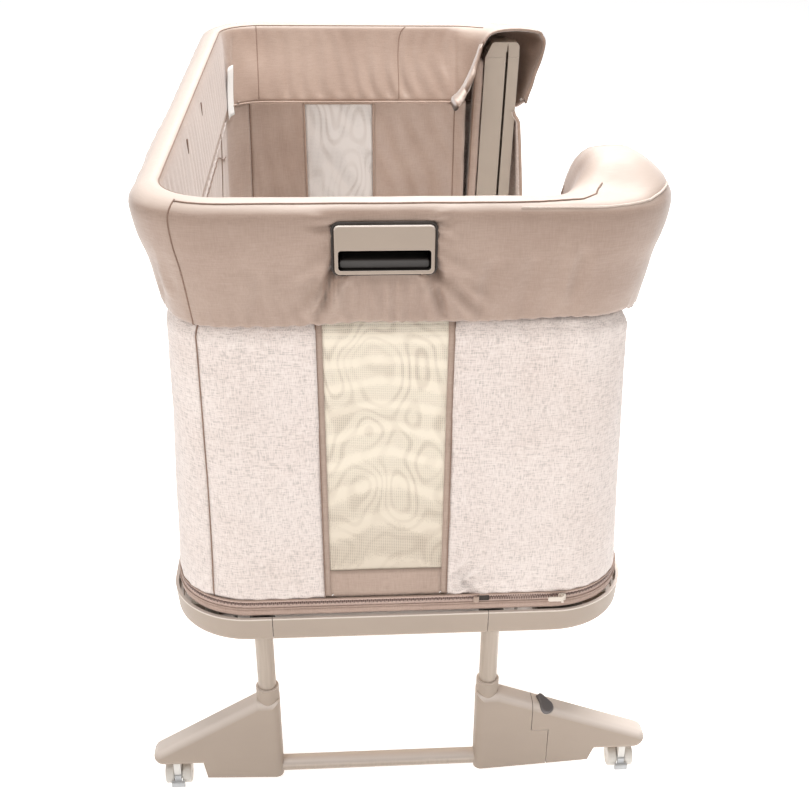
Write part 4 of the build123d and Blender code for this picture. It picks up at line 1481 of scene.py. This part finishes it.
rail_cover = grid("rail_cover_pad", rail_cover_rows(), linen_look, "drop_rail", closed=True)
outward_faces(rail_cover)
thicken(rail_cover, 2.0)
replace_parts(rail_cover, "rail_cover")
cord_mesh(
    "rail_cover_seam",
    [Vector((rail_x, y, rail_z - 12.9)) for y in levels(-rail_half + 2, rail_half - 2, 8)],
    0.8,
    seam_look,
    "drop_rail",
)


def side_panel_rows():
    """Side panel folded in pleats on the tray's edge below the lowered rail."""
    profile = []
    folds = 6
    low, high = 279.0, 303.5
    for fold in range(folds):
        z = low + (high - low) * fold / (folds - 1)
        inner = 190.5 + 1.2 * (fold % 2)
        outer = 255 - 1.5 * fold
        near_x, far_x = (outer, inner) if fold % 2 == 0 else (inner, outer)
        for share in (0.0, 0.12, 0.3, 0.5, 0.7, 0.88, 1.0):
            bow = 0.5 * math.sin(math.pi * share)
            profile.append((near_x + (far_x - near_x) * share, z + bow))
        if fold < folds - 1:
            step_z = (high - low) / (folds - 1)
            tip = far_x + (1.6 if far_x > near_x else -1.6)
            profile.append((tip, z + step_z / 2))
    profile.append((rail_x + 2, 309.0))
    rows = []
    for x, z in profile:
        row = []
        for y in levels(-386, 386, 8):
            sway = 1.0 * rumple(y, z * 3, 60, 81)
            row.append(Vector((x + sway, y, z + 0.35 * rumple(y, x, 35, 82))))
        rows.append(row)
    return rows


panel_rows = side_panel_rows()
side_panel = grid("side_panel_cloth", panel_rows, linen_look, body=None)
thicken(side_panel, 1.2, 0.0)
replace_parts(side_panel, "side_panel")
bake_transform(side_panel)


# =============================== stage, light and camera ===============================

def make_floor():
    """Plain pale floor."""
    look, tree, shader = new_look(
        "floor_paper", "frame_paint", Roughness=0.9, Emission_Strength=0.68,
    )
    shader.inputs["Emission Color"].default_value = (1.0, 1.0, 1.0, 1.0)
    tone = cloud(tree, (900, 900, 900), 2.0)
    base = mixed(tree, tone, linear((250, 249, 248)), linear((253, 252, 251)))
    tree.links.new(base, shader.inputs["Base Color"])
    mesh = bpy.data.meshes.new("floor")
    half = 80.0
    corners = [(-half, -half, 0), (half, -half, 0), (half, half, 0), (-half, half, 0)]
    mesh.from_pydata(corners, [], [(0, 1, 2, 3)])
    mesh.materials.append(look)
    floor = bpy.data.objects.new("floor", mesh)
    bpy.context.scene.collection.objects.link(floor)


def soft_light(name, place_at, aim_z, size, watts, tint=(1.0, 1.0, 1.0)):
    """Square soft box at a place, in metres, aimed at a height above the origin."""
    data = bpy.data.lights.new(name, "AREA")
    data.shape = "SQUARE"
    data.size = size
    data.energy = watts
    data.color = tint
    lamp = bpy.data.objects.new(name, data)
    lamp.location = place_at
    lamp.rotation_mode = "QUATERNION"
    lamp.rotation_quaternion = (Vector((0, 0, aim_z)) - Vector(place_at)).to_track_quat("-Z", "Y")
    bpy.context.scene.collection.objects.link(lamp)


make_floor()
soft_light("key_light", (-2.0, -2.6, 3.4), 0.5, 1.8, 58, (1.0, 0.985, 0.965))
soft_light("fill_light", (2.8, -2.4, 1.8), 0.5, 2.6, 9)
soft_light("top_light", (0.3, 0.4, 3.2), 0.5, 1.8, 120)
soft_light("back_light", (0.8, 3.4, 2.4), 0.6, 2.6, 34)

world = bpy.data.worlds.new("studio")
world.use_nodes = True
world.node_tree.nodes["Background"].inputs["Color"].default_value = (1.0, 0.995, 0.99, 1.0)
world.node_tree.nodes["Background"].inputs["Strength"].default_value = 0.27
bpy.context.scene.world = world
bpy.context.scene.view_settings.view_transform = "Standard"

camera_data = bpy.data.cameras.new("camera")
camera_data.sensor_width = 36
camera_data.lens = 53.31
camera_data.shift_x = -0.0297
camera_data.shift_y = 0.141
camera_data.clip_end = 250
camera = bpy.data.objects.new("camera", camera_data)
yaw, pitch, roll = 0.082, 0.556, 0.018
level_forward = Vector((math.sin(yaw), math.cos(yaw), 0))
forward = level_forward * math.cos(pitch) - Vector((0, 0, math.sin(pitch)))
level_right = Vector((math.cos(yaw), -math.sin(yaw), 0))
level_up = level_right.cross(forward)
right = level_right * math.cos(roll) + level_up * math.sin(roll)
up = level_up * math.cos(roll) - level_right * math.sin(roll)
camera.matrix_world = Matrix((
    (right.x, up.x, -forward.x, -0.0661),
    (right.y, up.y, -forward.y, -1.58975),
    (right.z, up.z, -forward.z, 1.1165),
    (0, 0, 0, 1),
))
bpy.context.scene.collection.objects.link(camera)
bpy.context.scene.camera = camera
